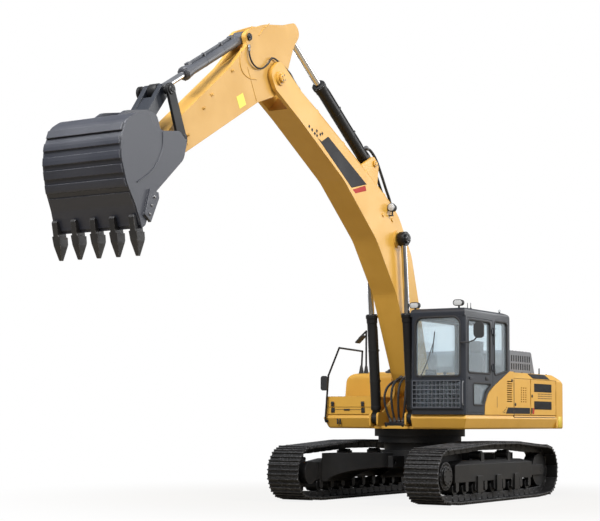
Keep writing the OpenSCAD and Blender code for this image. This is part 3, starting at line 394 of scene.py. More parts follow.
# %% Paints, steels and plastics
YELLOW = coat("yellow_paint", (0.655, 0.362, 0.055), (0.61, 0.33, 0.046), (0.30, 0.19, 0.08),
              rough=0.38, clear=0.08, wear=0.30, dust=0.18, dust_height=1.6, gleam=0.40)
# A darker copy of the yellow paint for the stick, its welds and its brackets: painted shade that tones down
# the stick, which the lamps light more strongly, with light edge wear and dust.
STICK_YELLOW_PAINTED_SHADE = coat("stick_yellow_painted_shade", (0.59, 0.33, 0.062), (0.54, 0.295, 0.052), (0.25, 0.18, 0.11),
                  rough=0.45, clear=0.1, wear=0.35, dust=0.12, dust_height=2.2)
CAB_GREY = coat("cab_paint", (0.017, 0.0205, 0.029), (0.014, 0.017, 0.024), (0.10, 0.11, 0.12),
                rough=0.34, clear=0.15, wear=0.25, dust=0.2, gleam=0.40)
DARK = coat("dark_paint", (0.007, 0.0072, 0.008), (0.011, 0.0112, 0.012), (0.08, 0.08, 0.08),
            rough=0.40, wear=0.45, dust=0.03, gleam=0.28)
# The track steel's bright worn colour is partly edge wear and partly painted highlight on the shoe edges.
TRACK = coat("track_steel", (0.014, 0.014, 0.0148), (0.021, 0.021, 0.022), (0.26, 0.26, 0.27),
             rough=0.40, metal=0.4, wear=0.9, dust=0.02, dust_height=1.2, bump=0.12, grain=120.0)
SLATE = coat("slate_paint", (0.056, 0.060, 0.071), (0.074, 0.078, 0.090), (0.22, 0.22, 0.23),
             rough=0.40, clear=0.2, wear=0.45, dust=0.2)
HOOD_GREY = coat("hood_paint", (0.135, 0.142, 0.156), (0.16, 0.166, 0.18), (0.28, 0.28, 0.29),
                 rough=0.40, clear=0.2, wear=0.4, dust=0.1)
BUCKET = coat("bucket_steel", (0.018, 0.021, 0.033), (0.026, 0.029, 0.042), (0.24, 0.24, 0.25), rough=0.40,
              metal=0.15, gleam=0.9, wear=0.6, dust=0.10, dust_height=2.4, bump=0.18, grain=140.0)
TOOTH = coat("tooth_steel", (0.045, 0.045, 0.047), (0.075, 0.073, 0.071), (0.32, 0.31, 0.30),
             rough=0.38, metal=0.7, wear=0.9, dust=0.15, dust_height=1.5, bump=0.2, grain=150.0)
# Dark plastic for fittings, latches and lamps; as a thin strip on the toolbox seam it paints its shade.
PLASTIC_AND_SEAM_SHADE = coat("dark_plastic", (0.016, 0.017, 0.019), (0.024, 0.025, 0.027), (0.06, 0.06, 0.06),
               rough=0.58, wear=0.2, dust=0.15, bump=0.12, grain=420.0, radius=0.006, worn_metal=0.0)
# Dark rubber for seals, boots and hoses; as strips on the cover gaps it paints their shade.
RUBBER_AND_SEAM_SHADE = coat("rubber", (0.012, 0.012, 0.013), (0.020, 0.020, 0.021), (0.04, 0.04, 0.04),
              rough=0.66, wear=0.1, dust=0.2, bump=0.1, grain=500.0, radius=0.004, worn_metal=0.0)
FABRIC = coat("chair_fabric", (0.035, 0.036, 0.040), (0.055, 0.056, 0.062), (0.08, 0.08, 0.08),
              rough=0.85, wear=0.1, dust=0.1, bump=0.35, grain=650.0, radius=0.004, worn_metal=0.0)
PIN_STEEL = coat("pin_steel", (0.20, 0.20, 0.205), (0.14, 0.14, 0.145), (0.5, 0.5, 0.5),
                 rough=0.36, metal=0.85, wear=0.6, dust=0.2, bump=0.08, radius=0.005)
# Dark grille wires, and the plates and slots that paint the shade behind them.
GRILLE_AND_PAINTED_SHADE = coat("grille_and_painted_shade", (0.014, 0.014, 0.016), (0.024, 0.024, 0.026), (0.09, 0.09, 0.09),
                 rough=0.55, metal=0.2, wear=0.3, dust=0.2, radius=0.003)
RED = coat("red_band", (0.44, 0.030, 0.020), (0.36, 0.024, 0.017), (0.2, 0.1, 0.08),
           rough=0.5, wear=0.2, dust=0.1, gleam=0.2)
BAND_GREY = coat("dark_band", (0.012, 0.012, 0.014), (0.010, 0.010, 0.012), (0.05, 0.05, 0.05),
                 rough=0.50, wear=0.15, dust=0.1, gleam=0.2)
BRIGHT_SIGN = coat("bright_sign", (0.88, 0.80, 0.09), (0.82, 0.74, 0.08), (0.5, 0.45, 0.1),
                   rough=0.4, wear=0.1, dust=0.05)
GUARD_GREY = coat("guard_paint", (0.13, 0.14, 0.165), (0.11, 0.12, 0.14), (0.2, 0.2, 0.2),
                  rough=0.4, wear=0.3, dust=0.1, radius=0.003)
BLANK = coat("blank_sign", (0.72, 0.52, 0.05), (0.62, 0.45, 0.05), (0.3, 0.25, 0.1),
             rough=0.4, wear=0.2, dust=0.2)
print("coated materials:", len(bpy.data.materials) - 1)

# %% Glass, lenses and chrome
DUST_FILM = (0.55, 0.52, 0.47)
FILM_SHARE, CLEAR_TO_SHADOWS = 0.20, 0.85


def pane_material():
    """Tinted glass with a thin film of dust, which lets most of the light pass."""
    material, tree, shader = new_material("pane")
    weather = use_group(tree, WEATHER, Blotch_Scale=2.2, Dust_Height=3.4)
    tint = colour_mix(tree, weather["Blotch"], (0.84, 0.92, 0.96), (0.80, 0.89, 0.94))
    film = math_node(tree, "MULTIPLY", weather["Dust"], FILM_SHARE)
    shade = tree.nodes.new("ShaderNodeLightPath").outputs["Is Shadow Ray"]
    clear_part = math_node(tree, "MULTIPLY", shade, CLEAR_TO_SHADOWS)
    feed_all(tree, shader, Base_Color=colour_mix(tree, film, tint, DUST_FILM), Roughness=0.02, IOR=1.45,
             Transmission_Weight=0.92, Alpha=math_node(tree, "SUBTRACT", 1.0, clear_part))
    return material


def lens_material():
    """Ribbed lamp glass."""
    material, tree, shader = new_material("lamp_lens")
    ribs = put(tree, "ShaderNodeTexWave", Vector=object_place(tree), Scale=60.0).outputs["Fac"]
    relief = put(tree, "ShaderNodeBump", Strength=0.25, Distance=0.004, Height=ribs)
    feed_all(tree, shader, Base_Color=colour_mix(tree, ribs, (0.80, 0.82, 0.84), (0.62, 0.65, 0.68)),
             Roughness=0.12, Transmission_Weight=0.35, Normal=relief.outputs["Normal"])
    return material


def chrome_material():
    """Polished steel with fine scratches."""
    material, tree, shader = new_material("bright_rod")
    weather = use_group(tree, WEATHER, Blotch_Scale=4.0)
    lines = use_group(tree, SCRATCHES, Stretch=(2.0, 2.0, 2.0), Scale=30.0)
    rough = math_node(tree, "MULTIPLY", lines["Line"], 0.15)
    colour = colour_mix(tree, weather["Blotch"], (0.78, 0.78, 0.80), (0.66, 0.66, 0.68))
    feed_all(tree, shader, Base_Color=colour, Metallic=1.0, Roughness=math_node(tree, "ADD", rough, 0.12))
    return material


PANE = pane_material()
LENS = lens_material()
CHROME = chrome_material()
print("panes, lenses and chrome made")

# %% [markdown]
# ## Dressing the solids
# Each solid of the CAD model takes one finish. The list goes by finish, so a reader can see at a glance
# what is painted, what is bare steel and what is glass. A second list gives the slot of the CAD model
# that an added piece shares, again by finish.

# %% Finishes of the solids
FINISHES = [
    (YELLOW, ["main_frame", "counterweight", "bay_frame", "side_cover", "fuel_tank", "oil_tank", "toolbox",
              "toolbox_lid", "left_front_door", "left_rear_door", "right_door", "boom"]),
    (STICK_YELLOW_PAINTED_SHADE, ["stick"]),
    (CAB_GREY, ["cab_frame", "cab_roof", "cab_door", "cab_guard", "bucket_link"]),
    (HOOD_GREY, ["hood"]),
    (SLATE, ["bucket_barrel"]),
    (DARK, ["car_body", "track_frame_left", "track_frame_right", "travel_motors", "slew_bearing",
            "slew_ring_top", "engine_block", "handrails", "boom_barrels", "arm_barrel", "side_links"]),
    (TRACK, ["track_left", "track_right", "sprockets", "idlers", "bottom_rollers", "carrier_rollers"]),
    (BUCKET, ["bucket"]),
    (TOOTH, ["bucket_teeth"]),
    (CHROME, ["boom_rods", "arm_rod", "bucket_rod"]),
    (PANE, ["cab_glass", "door_glass"]),
    (PLASTIC_AND_SEAM_SHADE, ["mirrors", "cab_consoles", "lamps"]),
    (FABRIC, ["operator_chair"]),
]
for finish, names in FINISHES:
    for name in names:
        slots = NODES[name].data.materials
        slots.clear()
        slots.append(finish)
left_over = sorted(set(NODES) - {n for _, names in FINISHES for n in names})
print("dressed", sum(len(names) for _, names in FINISHES), "solids; left over:", left_over)

# %% Slots of the added pieces
SLOTS = {
    "dark_paint": [DARK, BAND_GREY, SLATE],
    "dark_plastic": [PLASTIC_AND_SEAM_SHADE, RUBBER_AND_SEAM_SHADE, GRILLE_AND_PAINTED_SHADE],
    "yellow_paint": [YELLOW, STICK_YELLOW_PAINTED_SHADE, BRIGHT_SIGN, BLANK],
    "cab_paint": [GUARD_GREY, HOOD_GREY],
    "pane": [PANE, LENS],
    "tooth_steel": [PIN_STEEL],
    "track_steel": [TRACK],
    "bucket_steel": [BUCKET],
    "bright_rod": [CHROME],
    "chair_fabric": [FABRIC],
}
SLOT_OF = {finish.name: slot for slot, finishes in SLOTS.items() for finish in finishes}
print("finishes with a slot:", len(SLOT_OF))

# %% [markdown]
# ## A small workshop
# Most added pieces are plates, bars and bent tubes. The workshop below collects such shapes in one mesh,
# softens their edges and hands the piece to the body that carries it. Points are given from the slewing
# axis, as in the CAD source, and the object itself stays at the origin.

# %% Outlines and lines
def unit_circle(count, start=0.0):
    angles = [start + 2 * math.pi * i / count for i in range(count)]
    return [(math.cos(angle), math.sin(angle)) for angle in angles]


def oblong(a, b, half_a, half_b, *corner):
    """A rectangle round a middle; with a corner radius its rows suit rounded()."""
    signs = ((-1, -1), (1, -1), (1, 1), (-1, 1))
    return [(a + i * half_a, b + k * half_b, *corner) for i, k in signs]


def smooth_path(points, steps=8):
    """Catmull-Rom line through the points."""
    points = [Vector(p) for p in points]
    full = [points[0] * 2 - points[1]] + points + [points[-1] * 2 - points[-2]]
    line = []
    for a, b, c, d in zip(full, full[1:], full[2:], full[3:]):
        for i in range(steps):
            t = i / steps
            curve = (2 * a - 5 * b + 4 * c - d) * t * t + (3 * b - a - 3 * c + d) * t ** 3
            line.append(0.5 * (2 * b + (c - a) * t + curve))
    return line + [points[-1]]


def rounded(rows, step=12.0):
    """Closed outline from rows of two places and a corner radius."""
    line = []
    for i, (x, y, radius) in enumerate(rows):
        here = Vector((x, y))
        before = (Vector(rows[i - 1][:2]) - here).normalized()
        after = (Vector(rows[(i + 1) % len(rows)][:2]) - here).normalized()
        half = math.acos(max(-1.0, min(1.0, before.dot(after)))) / 2
        if radius == 0 or abs(math.pi / 2 - half) < 1e-4:
            line.append((x, y))
            continue
        middle = here + (before + after).normalized() * radius / math.sin(half)
        start = here + before * radius / math.tan(half) - middle
        end = here + after * radius / math.tan(half) - middle
        first = math.atan2(start.y, start.x)
        sweep = (math.atan2(end.y, end.x) - first + 3 * math.pi) % (2 * math.pi) - math.pi
        count = max(2, math.ceil(abs(math.degrees(sweep)) / step))
        for k in range(count + 1):
            angle = first + sweep * k / count
            line.append((middle.x + radius * math.cos(angle), middle.y + radius * math.sin(angle)))
    return line


def outset(rows, width):
    """Moves the sides of an outline out by a width, and the corner radii with them."""
    spin = sum(a[0] * b[1] - b[0] * a[1] for a, b in zip(rows, rows[1:] + rows[:1]))
    sign = 1.0 if spin > 0 else -1.0
    moved = []
    for i, (x, y, radius) in enumerate(rows):
        u = (Vector((x, y)) - Vector(rows[i - 1][:2])).normalized()
        v = (Vector(rows[(i + 1) % len(rows)][:2]) - Vector((x, y))).normalized()
        first, second = sign * Vector((u.y, -u.x)), sign * Vector((v.y, -v.x))
        spot = Vector((x, y)) + (first + second) * width / (1.0 + first.dot(second))
        outer = (u.x * v.y - u.y * v.x) * sign > 0
        moved.append((spot.x, spot.y, max(0.003, radius + width if outer else radius - width)))
    return moved


print("outline helpers ready")


# %% Frames of boom and stick
def on_line(a, b):
    """A lever's own frame: places along its line and square to it, in the machine's middle plane."""
    way = (Vector(b) - Vector(a)).normalized()
    return lambda u, w: (a[0] + u * way.x - w * way.y, a[1] + u * way.y + w * way.x)


def along(frame_of, rows):
    """Points from rows of two places in a lever's frame and a place across."""
    return [(frame_of(u, w)[0], y, frame_of(u, w)[1]) for u, w, y in rows]


# pins of the front, from the slewing axis in metres
BOOM_FOOT, BOOM_NOSE, BUCKET_PIN = (0.25, 1.95), (5.06, 6.49), (7.84, 4.92)
BOOM_CYL = ((0.97, 1.40), (1.28, 4.46))
ARM_CYL = ((1.95, 5.67), (4.51, 7.33))
BUCKET_CYL = ((5.80, 6.97), (7.82, 5.78))
SIDE_LINK, JOINT = (7.55, 5.16), (7.82, 5.78)
in_boom = on_line(BOOM_FOOT, BOOM_NOSE)
in_stick = on_line(BOOM_NOSE, BUCKET_PIN)
print("frames of boom and stick ready")


# %% Workpieces
COLLAR_SIDES = 36


def bridge(bm, rows, around=False):
    """Joins rows of equally many points by faces; around also joins the last row to the first."""
    for low, high in zip(rows, rows[1:] + rows[:1] if around else rows[1:]):
        for i in range(len(low)):
            k = (i + 1) % len(low)
            bm.faces.new((low[i], low[k], high[k], high[i]))


def finished_mesh(bm, name):
    mesh = bpy.data.meshes.new(name)
    bm.to_mesh(mesh)
    bm.free()
    return mesh


def square_to(way):
    """Two directions that stand square to a way and to each other."""
    side = way.orthogonal().normalized()
    return side, way.cross(side)


def turned(p, q, rows, sides):
    """Circles round the line from p to q, one for each row of a place along it and a radius."""
    p, q = Vector(p), Vector(q)
    way = (q - p).normalized()
    side, other = square_to(way)
    circle = unit_circle(sides)
    return [[p + way * place + (side * c + other * s) * radius for c, s in circle] for place, radius in rows]


class Workpiece:
    """Collects plates, bars and tubes into one mesh."""

    def __init__(self):
        self.bm = bmesh.new()

    def points(self, rings):
        return [[self.bm.verts.new(world(*p)) for p in ring] for ring in rings]

    def solid(self, rings):
        """Joins rings of equally many points, one after the other, and closes both ends."""
        rows = self.points(rings)
        bridge(self.bm, rows)
        self.bm.faces.new(list(reversed(rows[0])))
        self.bm.faces.new(rows[-1])

    def ring(self, loops):
        """Joins closed loops of equally many points round, as for a seal."""
        bridge(self.bm, self.points(loops), around=True)

    def plate_y(self, outline, y0, y1):
        self.solid([[(x, y, z) for x, z in outline] for y in (y0, y1)])

    def plate_x(self, outline, x0, x1):
        self.solid([[(x, y, z) for y, z in outline] for x in (x0, x1)])

    def box(self, a, b):
        outline = [(a[0], a[1]), (b[0], a[1]), (b[0], b[1]), (a[0], b[1])]
        self.solid([[(x, y, z) for x, y in outline] for z in (a[2], b[2])])

    def lathe(self, p, q, rows, sides=24):
        """A turned solid: rows of place along p to q, in metres, and radius."""
        self.solid(turned(p, q, rows, sides))

    def collar(self, p, q, rows):
        """A turned ring that a rod can pass, from the rows of its closed section."""
        self.ring(turned(p, q, rows, COLLAR_SIDES))

    def bar(self, p, q, radius, sides=16):
        self.lathe(p, q, [(0, radius), ((Vector(q) - Vector(p)).length, radius)], sides)

    def tube(self, points, radius, sides=10):
        """A bent tube through points that already lie close together on a smooth line."""
        points = [Vector(p) for p in points]
        last = len(points) - 1
        ways = [(points[min(i + 1, last)] - points[max(i - 1, 0)]).normalized() for i in range(last + 1)]
        side, _ = square_to(ways[0])
        circle = unit_circle(sides)
        rings = []
        for point, way in zip(points, ways):
            side = (side - way * side.dot(way)).normalized()
            other = way.cross(side)
            rings.append([point + radius * (side * c + other * s) for c, s in circle])
        self.solid(rings)

    def done(self, name, material, body, soften=0.0, smooth=30.0):
        """Softens the sharp edges if asked and hands the piece over."""
        bmesh.ops.recalc_face_normals(self.bm, faces=self.bm.faces)
        if soften:
            sharp = math.radians(25)
            edges = [e for e in self.bm.edges if e.is_manifold and e.calc_face_angle(0.0) > sharp]
            bmesh.ops.bevel(self.bm, geom=edges, offset=soften, segments=2, affect="EDGES", profile=0.5)
        return hand_over(name, finished_mesh(self.bm, name), material, body, smooth)


def hand_over(name, mesh, material, body, smooth=30.0):
    """Makes a mesh a piece with its finish and its body."""
    mesh.name = name
    mesh.materials.clear()
    mesh.materials.append(material)
    mesh.shade_smooth()
    mesh.set_sharp_from_angle(angle=math.radians(smooth))
    piece = link(bpy.data.objects.new(name, mesh))
    if body:
        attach(piece, body)
    return piece


print("workshop ready")

# %% [markdown]
# ## Setting patterns with Geometry Nodes
# Shoes and bolts repeat hundreds of times. One of each is shaped, and a node tree sets it on points:
# along the closed line of a track, or on a list of places that carry a direction and a size as
# attributes.

# %% Trees that set patterns
def pattern_tree(name, more_inputs=()):
    """Sets a pattern on points; returns the tree, its inputs and the node that places the pattern."""
    tree = bpy.data.node_groups.new(name, "GeometryNodeTree")
    inputs = [("Geometry", "NodeSocketGeometry"), *more_inputs, ("Pattern", "NodeSocketObject"),
              ("Finish", "NodeSocketMaterial")]
    for label, kind in inputs:
        tree.interface.new_socket(label, in_out="INPUT", socket_type=kind)
    tree.interface.new_socket("Geometry", in_out="OUTPUT", socket_type="NodeSocketGeometry")
    enter = tree.nodes.new("NodeGroupInput").outputs
    pattern = put(tree, "GeometryNodeObjectInfo", Object=enter["Pattern"])
    place = put(tree, "GeometryNodeInstanceOnPoints", Instance=pattern.outputs["Geometry"])
    real = put(tree, "GeometryNodeRealizeInstances", Geometry=place.outputs["Instances"])
    paint = put(tree, "GeometryNodeSetMaterial", Geometry=real.outputs["Geometry"], Material=enter["Finish"])
    put(tree, "NodeGroupOutput", Geometry=paint.outputs["Geometry"])
    return tree, enter, place


def chain_tree():
    """Sets a pattern along a closed line, turned about Y to follow it."""
    tree, enter, place = pattern_tree("track_chain", [("Count", "NodeSocketInt")])
    curve = put(tree, "GeometryNodeMeshToCurve", Mesh=enter["Geometry"])
    even = put(tree, "GeometryNodeResampleCurve", Curve=curve.outputs["Curve"], Count=enter["Count"])
    tangent = tree.nodes.new("GeometryNodeInputTangent")
    turn = put(tree, "FunctionNodeAlignRotationToVector", {"axis": "X", "pivot_axis": "Y"},
               Vector=tangent.outputs["Tangent"])
    feed_all(tree, place, Points=even.outputs["Curve"], Rotation=turn.outputs["Rotation"])
    return tree


def points_tree():
    """Sets a pattern on each point, facing the way and in the size that the point carries."""
    tree, enter, place = pattern_tree("set_on_points")
    facing = put(tree, "GeometryNodeInputNamedAttribute", {"data_type": "FLOAT_VECTOR"}, Name="facing")
    size = put(tree, "GeometryNodeInputNamedAttribute", {"data_type": "FLOAT"}, Name="size")
    turn = put(tree, "FunctionNodeAlignRotationToVector", {"axis": "Z"}, Vector=facing.outputs["Attribute"])
    feed_all(tree, place, Points=enter["Geometry"], Rotation=turn.outputs["Rotation"],
             Scale=size.outputs["Attribute"])
    return tree


def run_tree(base, tree, **values):
    """Runs a tree on a mesh and returns the result as a plain mesh."""
    carrier = link(bpy.data.objects.new("carrier", base))
    modifier = carrier.modifiers.new("nodes", "NODES")
    modifier.node_group = tree
    for item in tree.interface.items_tree:
        if item.item_type == "SOCKET" and item.in_out == "INPUT" and item.name in values:
            modifier[item.identifier] = values[item.name]
    bpy.context.view_layer.update()
    result = bpy.data.meshes.new_from_object(carrier.evaluated_get(bpy.context.evaluated_depsgraph_get()))
    bpy.data.objects.remove(carrier)
    return result


CHAIN = chain_tree()
ON_POINTS = points_tree()
print("trees:", CHAIN.name, ON_POINTS.name)

# %% [markdown]
# ## Tracks
# A track is a chain of equal links, each with a bolted shoe that has three bars across. One shoe with its
# pair of links is shaped and set along the loop. The loop makes the same six turns as the CAD model's, so
# the shoes lie on the fixed solid that they replace.

# %% The loop of a track
# place along, height and radius of each turn of the loop
TRACK_WHEELS = [(2.075, 0.478, 0.42), (0.43, 0.825, 0.16), (-0.68, 0.825, 0.16), (-2.075, 0.478, 0.42),
                (-1.62, 0.33, 0.3), (1.62, 0.33, 0.3)]
TRACK_MIDDLE = 1.295
SHOE_COUNT = 48


def track_loop():
    """Points of the shoes' outer face, against the clock seen from the right side."""
    normals = []
    for i, (x, z, r) in enumerate(TRACK_WHEELS):
        nx, nz, nr = TRACK_WHEELS[(i + 1) % len(TRACK_WHEELS)]
        length = math.hypot(nx - x, nz - z)
        normals.append(math.atan2(-(nx - x), nz - z) - math.asin((nr - r) / length))
    points = []
    for i, (x, z, r) in enumerate(TRACK_WHEELS):
        first = normals[i - 1]
        sweep = (normals[i] - first) % (2 * math.pi)
        steps = max(3, math.ceil(sweep / 0.06))
        angles = [first + sweep * k / steps for k in range(steps + 1)]
        points += [(x + r * math.cos(angle), z + r * math.sin(angle)) for angle in angles]
    return points


loop = track_loop()
loop_length = sum(math.dist(a, b) for a, b in zip(loop, loop[1:] + loop[:1]))
PITCH = loop_length / SHOE_COUNT
print("track loop", round(loop_length, 3), "m, pitch", round(PITCH * 1000, 1), "mm")

# %% One shoe with its links
SHOE_HALF_WIDTH = 0.3
BAR_HEIGHT, BAR_FOOT, BAR_TOP = 0.030, 0.016, 0.008
CHAIN_HALF_GAUGE, CHAIN_HALF_THICK, CHAIN_PIN_HEIGHT = 0.066, 0.020, 0.074
SHOE_BOLT, SHOE_BOLT_ROWS = 0.013, (-0.028, 0.048)
SHOE_BOLT_PLACES = (-0.098, -0.05, 0.05, 0.098)


def shape_shoe():
    """X runs along the track, -Z points outwards; the origin is on the outer face of the plate."""
    bm = bmesh.new()

    def sweep_profile(profile, y0, y1):
        rows = [[bm.verts.new((x, y, z)) for x, z in profile] for y in (y0, y1)]
        bridge(bm, rows)
        bm.faces.new(list(reversed(rows[0])))
        bm.faces.new(rows[1])

    half = PITCH / 2
    outer = [(-half + 0.004, 0.004)]
    for x in (-half * 0.68, 0.0, half * 0.74):
        outer += [(x - BAR_FOOT, 0.0), (x - BAR_TOP, -BAR_HEIGHT)]
        outer += [(x + BAR_TOP, -BAR_HEIGHT), (x + BAR_FOOT, 0.0)]
    outer += [(half + 0.006, 0.0), (half + 0.012, 0.010), (half - 0.006, 0.018), (-half + 0.004, 0.022)]
    sweep_profile(outer, -SHOE_HALF_WIDTH, SHOE_HALF_WIDTH)
    tip, waist = half + 0.020, half - 0.05
    chain_link = [(-tip, 0.050, 0.028), (-waist, 0.020, 0.01), (waist, 0.020, 0.01), (tip, 0.050, 0.028),
                  (tip, 0.108, 0.03), (waist, 0.117, 0.02), (-waist, 0.117, 0.02), (-tip, 0.108, 0.03)]
    for side in SIDES:
        middle = side * CHAIN_HALF_GAUGE
        sweep_profile(rounded(chain_link, 30.0), middle - CHAIN_HALF_THICK, middle + CHAIN_HALF_THICK)
    for radius, reach in ((0.030, 0.046), (0.018, 0.092)):
        pin = [(half + radius * c, CHAIN_PIN_HEIGHT + radius * s) for c, s in unit_circle(10)]
        sweep_profile(pin, -reach, reach)
    for x in SHOE_BOLT_ROWS:
        for y in SHOE_BOLT_PLACES:
            rows = [[bm.verts.new((x + SHOE_BOLT * c, y + SHOE_BOLT * s, z)) for c, s in unit_circle(6)]
                    for z in (0.001, -0.012)]
            bridge(bm, rows)
            bm.faces.new(rows[1])
    bmesh.ops.recalc_face_normals(bm, faces=bm.faces)
    return bpy.data.objects.new("shoe_pattern", finished_mesh(bm, "shoe"))


shoe_pattern = shape_shoe()
print("shoe:", len(shoe_pattern.data.polygons), "faces")

# %% Shoes along the loop
for side, node in ((1, "track_left"), (-1, "track_right")):
    ring = bpy.data.meshes.new("loop")
    count = len(loop)
    spots = [world(x, side * TRACK_MIDDLE, z) for x, z in loop]
    ring.from_pydata(spots, [(i, (i + 1) % count) for i in range(count)], [])
    mesh = run_tree(ring, CHAIN, Count=SHOE_COUNT, Pattern=shoe_pattern, Finish=TRACK)
    piece = hand_over(node + "_shoes", mesh, TRACK, "undercarriage", 25.0)
    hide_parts(node)
    print(piece.name, len(mesh.polygons), "faces")

# %% [markdown]
# ## Bolts
# Final drives, idler covers, the slewing ring, guards and pin caps are all held by rows of hexagon bolts.
# Each row of a list gives a place, the direction that the head faces and its size.

# %% Bolt heads
# radius, height and whether the row is a hexagon
BOLT_ROWS = [(0.62, 0.0, False), (0.62, 0.10, False), (0.5, 0.10, True), (0.5, 0.38, True),
             (0.42, 0.46, True)]


def shape_bolt():
    """A hexagon head with washer, one metre across for easy scaling, standing on z = 0."""
    bm = bmesh.new()
    flat = math.cos(math.pi / 6)
    rows = []
    for radius, z, six_sided in BOLT_ROWS:
        reaches = [radius * flat if six_sided and i % 2 else radius for i in range(12)]
        corners = zip(reaches, unit_circle(12))
        rows.append([bm.verts.new((reach * c, reach * s, z)) for reach, (c, s) in corners])
    bridge(bm, rows)
    bm.faces.new(rows[-1])
    bmesh.ops.recalc_face_normals(bm, faces=bm.faces)
    return bpy.data.objects.new("bolt_pattern", finished_mesh(bm, "bolt"))


BOLT = shape_bolt()


def set_bolts(name, rows, material, body):
    """Rows hold a place from the slewing axis, a direction and a size in metres."""
    base = bpy.data.meshes.new("points")
    base.from_pydata([world(*spot) for spot, _, _ in rows], [], [])
    base.attributes.new("facing", "FLOAT_VECTOR", "POINT")
    base.attributes.new("size", "FLOAT", "POINT")
    facing, size = base.attributes["facing"], base.attributes["size"]
    for i, (_, way, width) in enumerate(rows):
        facing.data[i].vector = way
        size.data[i].value = width
    mesh = run_tree(base, ON_POINTS, Pattern=BOLT, Finish=material)
    hand_over(name, mesh, material, body)
    print(name, len(rows), "places,", len(mesh.polygons), "faces")


def circle_rows(middle, way, radius, count, size, start=0.0):
    """Rows for a bolt circle round a middle, facing a way."""
    way = Vector(way).normalized()
    side, other = square_to(way)
    spots = [Vector(middle) + radius * (side * c + other * s) for c, s in unit_circle(count, start)]
    return [(tuple(spot), tuple(way), size) for spot in spots]


print("bolt:", len(BOLT.data.polygons), "faces")


# %% Bolts of the undercarriage
WHEEL_X, WHEEL_Z = 2.075, 0.478
GUIDE_PLACES, GUIDE_BOLT_HALF = (0.66, -0.12, -0.88), 0.06
BEARING_BOLTS, BEARING_RADIUS, BEARING_Z = 36, 0.685, 0.98
rows = []
for side in (1, -1):
    way = (0, side, 0)
    rows += circle_rows((WHEEL_X, side * 1.53, WHEEL_Z), way, 0.195, 16, 0.030)
    rows += circle_rows((WHEEL_X, side * 1.57, WHEEL_Z), way, 0.115, 8, 0.026)
    rows += circle_rows((-WHEEL_X, side * 1.447, WHEEL_Z), way, 0.048, 6, 0.020)
    for x in GUIDE_PLACES:
        for dx in (-GUIDE_BOLT_HALF, GUIDE_BOLT_HALF):
            rows.append(((x + dx, side * 1.473, 0.40), way, 0.030))
set_bolts("undercarriage_bolts", rows, DARK, "undercarriage")
rows = [((BEARING_RADIUS * c, BEARING_RADIUS * s, BEARING_Z), (0, 0, -1), 0.03)
        for c, s in unit_circle(BEARING_BOLTS)]
set_bolts("bearing_bolts", rows, DARK, "undercarriage")

# %% [markdown]
# ## Cab
# The panes sit in rubber seals. A seal is a ring that follows the window's outline, a little wider
# outside than inside, so one function serves all windows. Roof lamps get ribbed lenses, and small things
# that the eye expects follow: a grab handle, two aerials, a marker lamp, a wiper and the mirrors' glass.

# %% Window seals
CAB_SIDE, CAB_FRONT, CAB_REAR, CAB_INNER = 1.474, 1.247, -0.60, 0.462
DOOR_WINDOW = [(1.10, 2.18, 0.04), (0.232, 2.18, 0.04), (0.232, 3.051, 0.06), (1.10, 3.051, 0.06)]
DOOR_LOW_WINDOW = [(0.90, 1.64, 0.04), (0.535, 1.64, 0.04), (0.40, 1.866, 0.09), (0.232, 1.966, 0.015),
                   (0.232, 1.994, 0.012), (0.90, 1.994, 0.04)]
QUARTER_WINDOW = [(0.04, 2.16, 0.04), (-0.48, 2.24, 0.04), (-0.48, 3.081, 0.06), (0.04, 3.081, 0.06)]
RIGHT_WINDOW = [(1.11, 2.08, 0.04), (-0.48, 2.08, 0.04), (-0.48, 3.081, 0.06), (1.11, 3.081, 0.06)]
FRONT_WINDOW = [(0.56, 2.12, 0.05), (1.376, 2.12, 0.05), (1.376, 3.096, 0.13), (0.56, 3.096, 0.13)]
REAR_WINDOW = [(0.59, 2.33, 0.04), (1.346, 2.33, 0.04), (1.346, 3.081, 0.06), (0.59, 3.081, 0.06)]
# width outside the window's edge and rise over the face
SEAL_ROWS = [(0.026, -0.004), (0.026, 0.005), (0.016, 0.011), (0.0, 0.008), (-0.010, -0.010),
             (-0.010, -0.022)]


def seal(work, rows, place):
    """Adds a seal; place turns two window coordinates and a height over the face into a point."""
    work.ring([[place(a, b, rise) for a, b in rounded(outset(rows, width))] for width, rise in SEAL_ROWS])


def left_face(x, z, rise):
    return (x, CAB_SIDE + rise, z)


work = Workpiece()
seal(work, DOOR_WINDOW, left_face)
seal(work, DOOR_LOW_WINDOW, left_face)
work.done("door_window_seals", RUBBER_AND_SEAM_SHADE, "cab_door", smooth=50.0)
work = Workpiece()
seal(work, QUARTER_WINDOW, left_face)
seal(work, RIGHT_WINDOW, lambda x, z, rise: (x, CAB_INNER - rise, z))
seal(work, FRONT_WINDOW, lambda y, z, rise: (CAB_FRONT + rise, y, z))
seal(work, REAR_WINDOW, lambda y, z, rise: (CAB_REAR - rise, y, z))
work.done("cab_window_seals", RUBBER_AND_SEAM_SHADE, "upper", smooth=50.0)
print("seals round six windows")

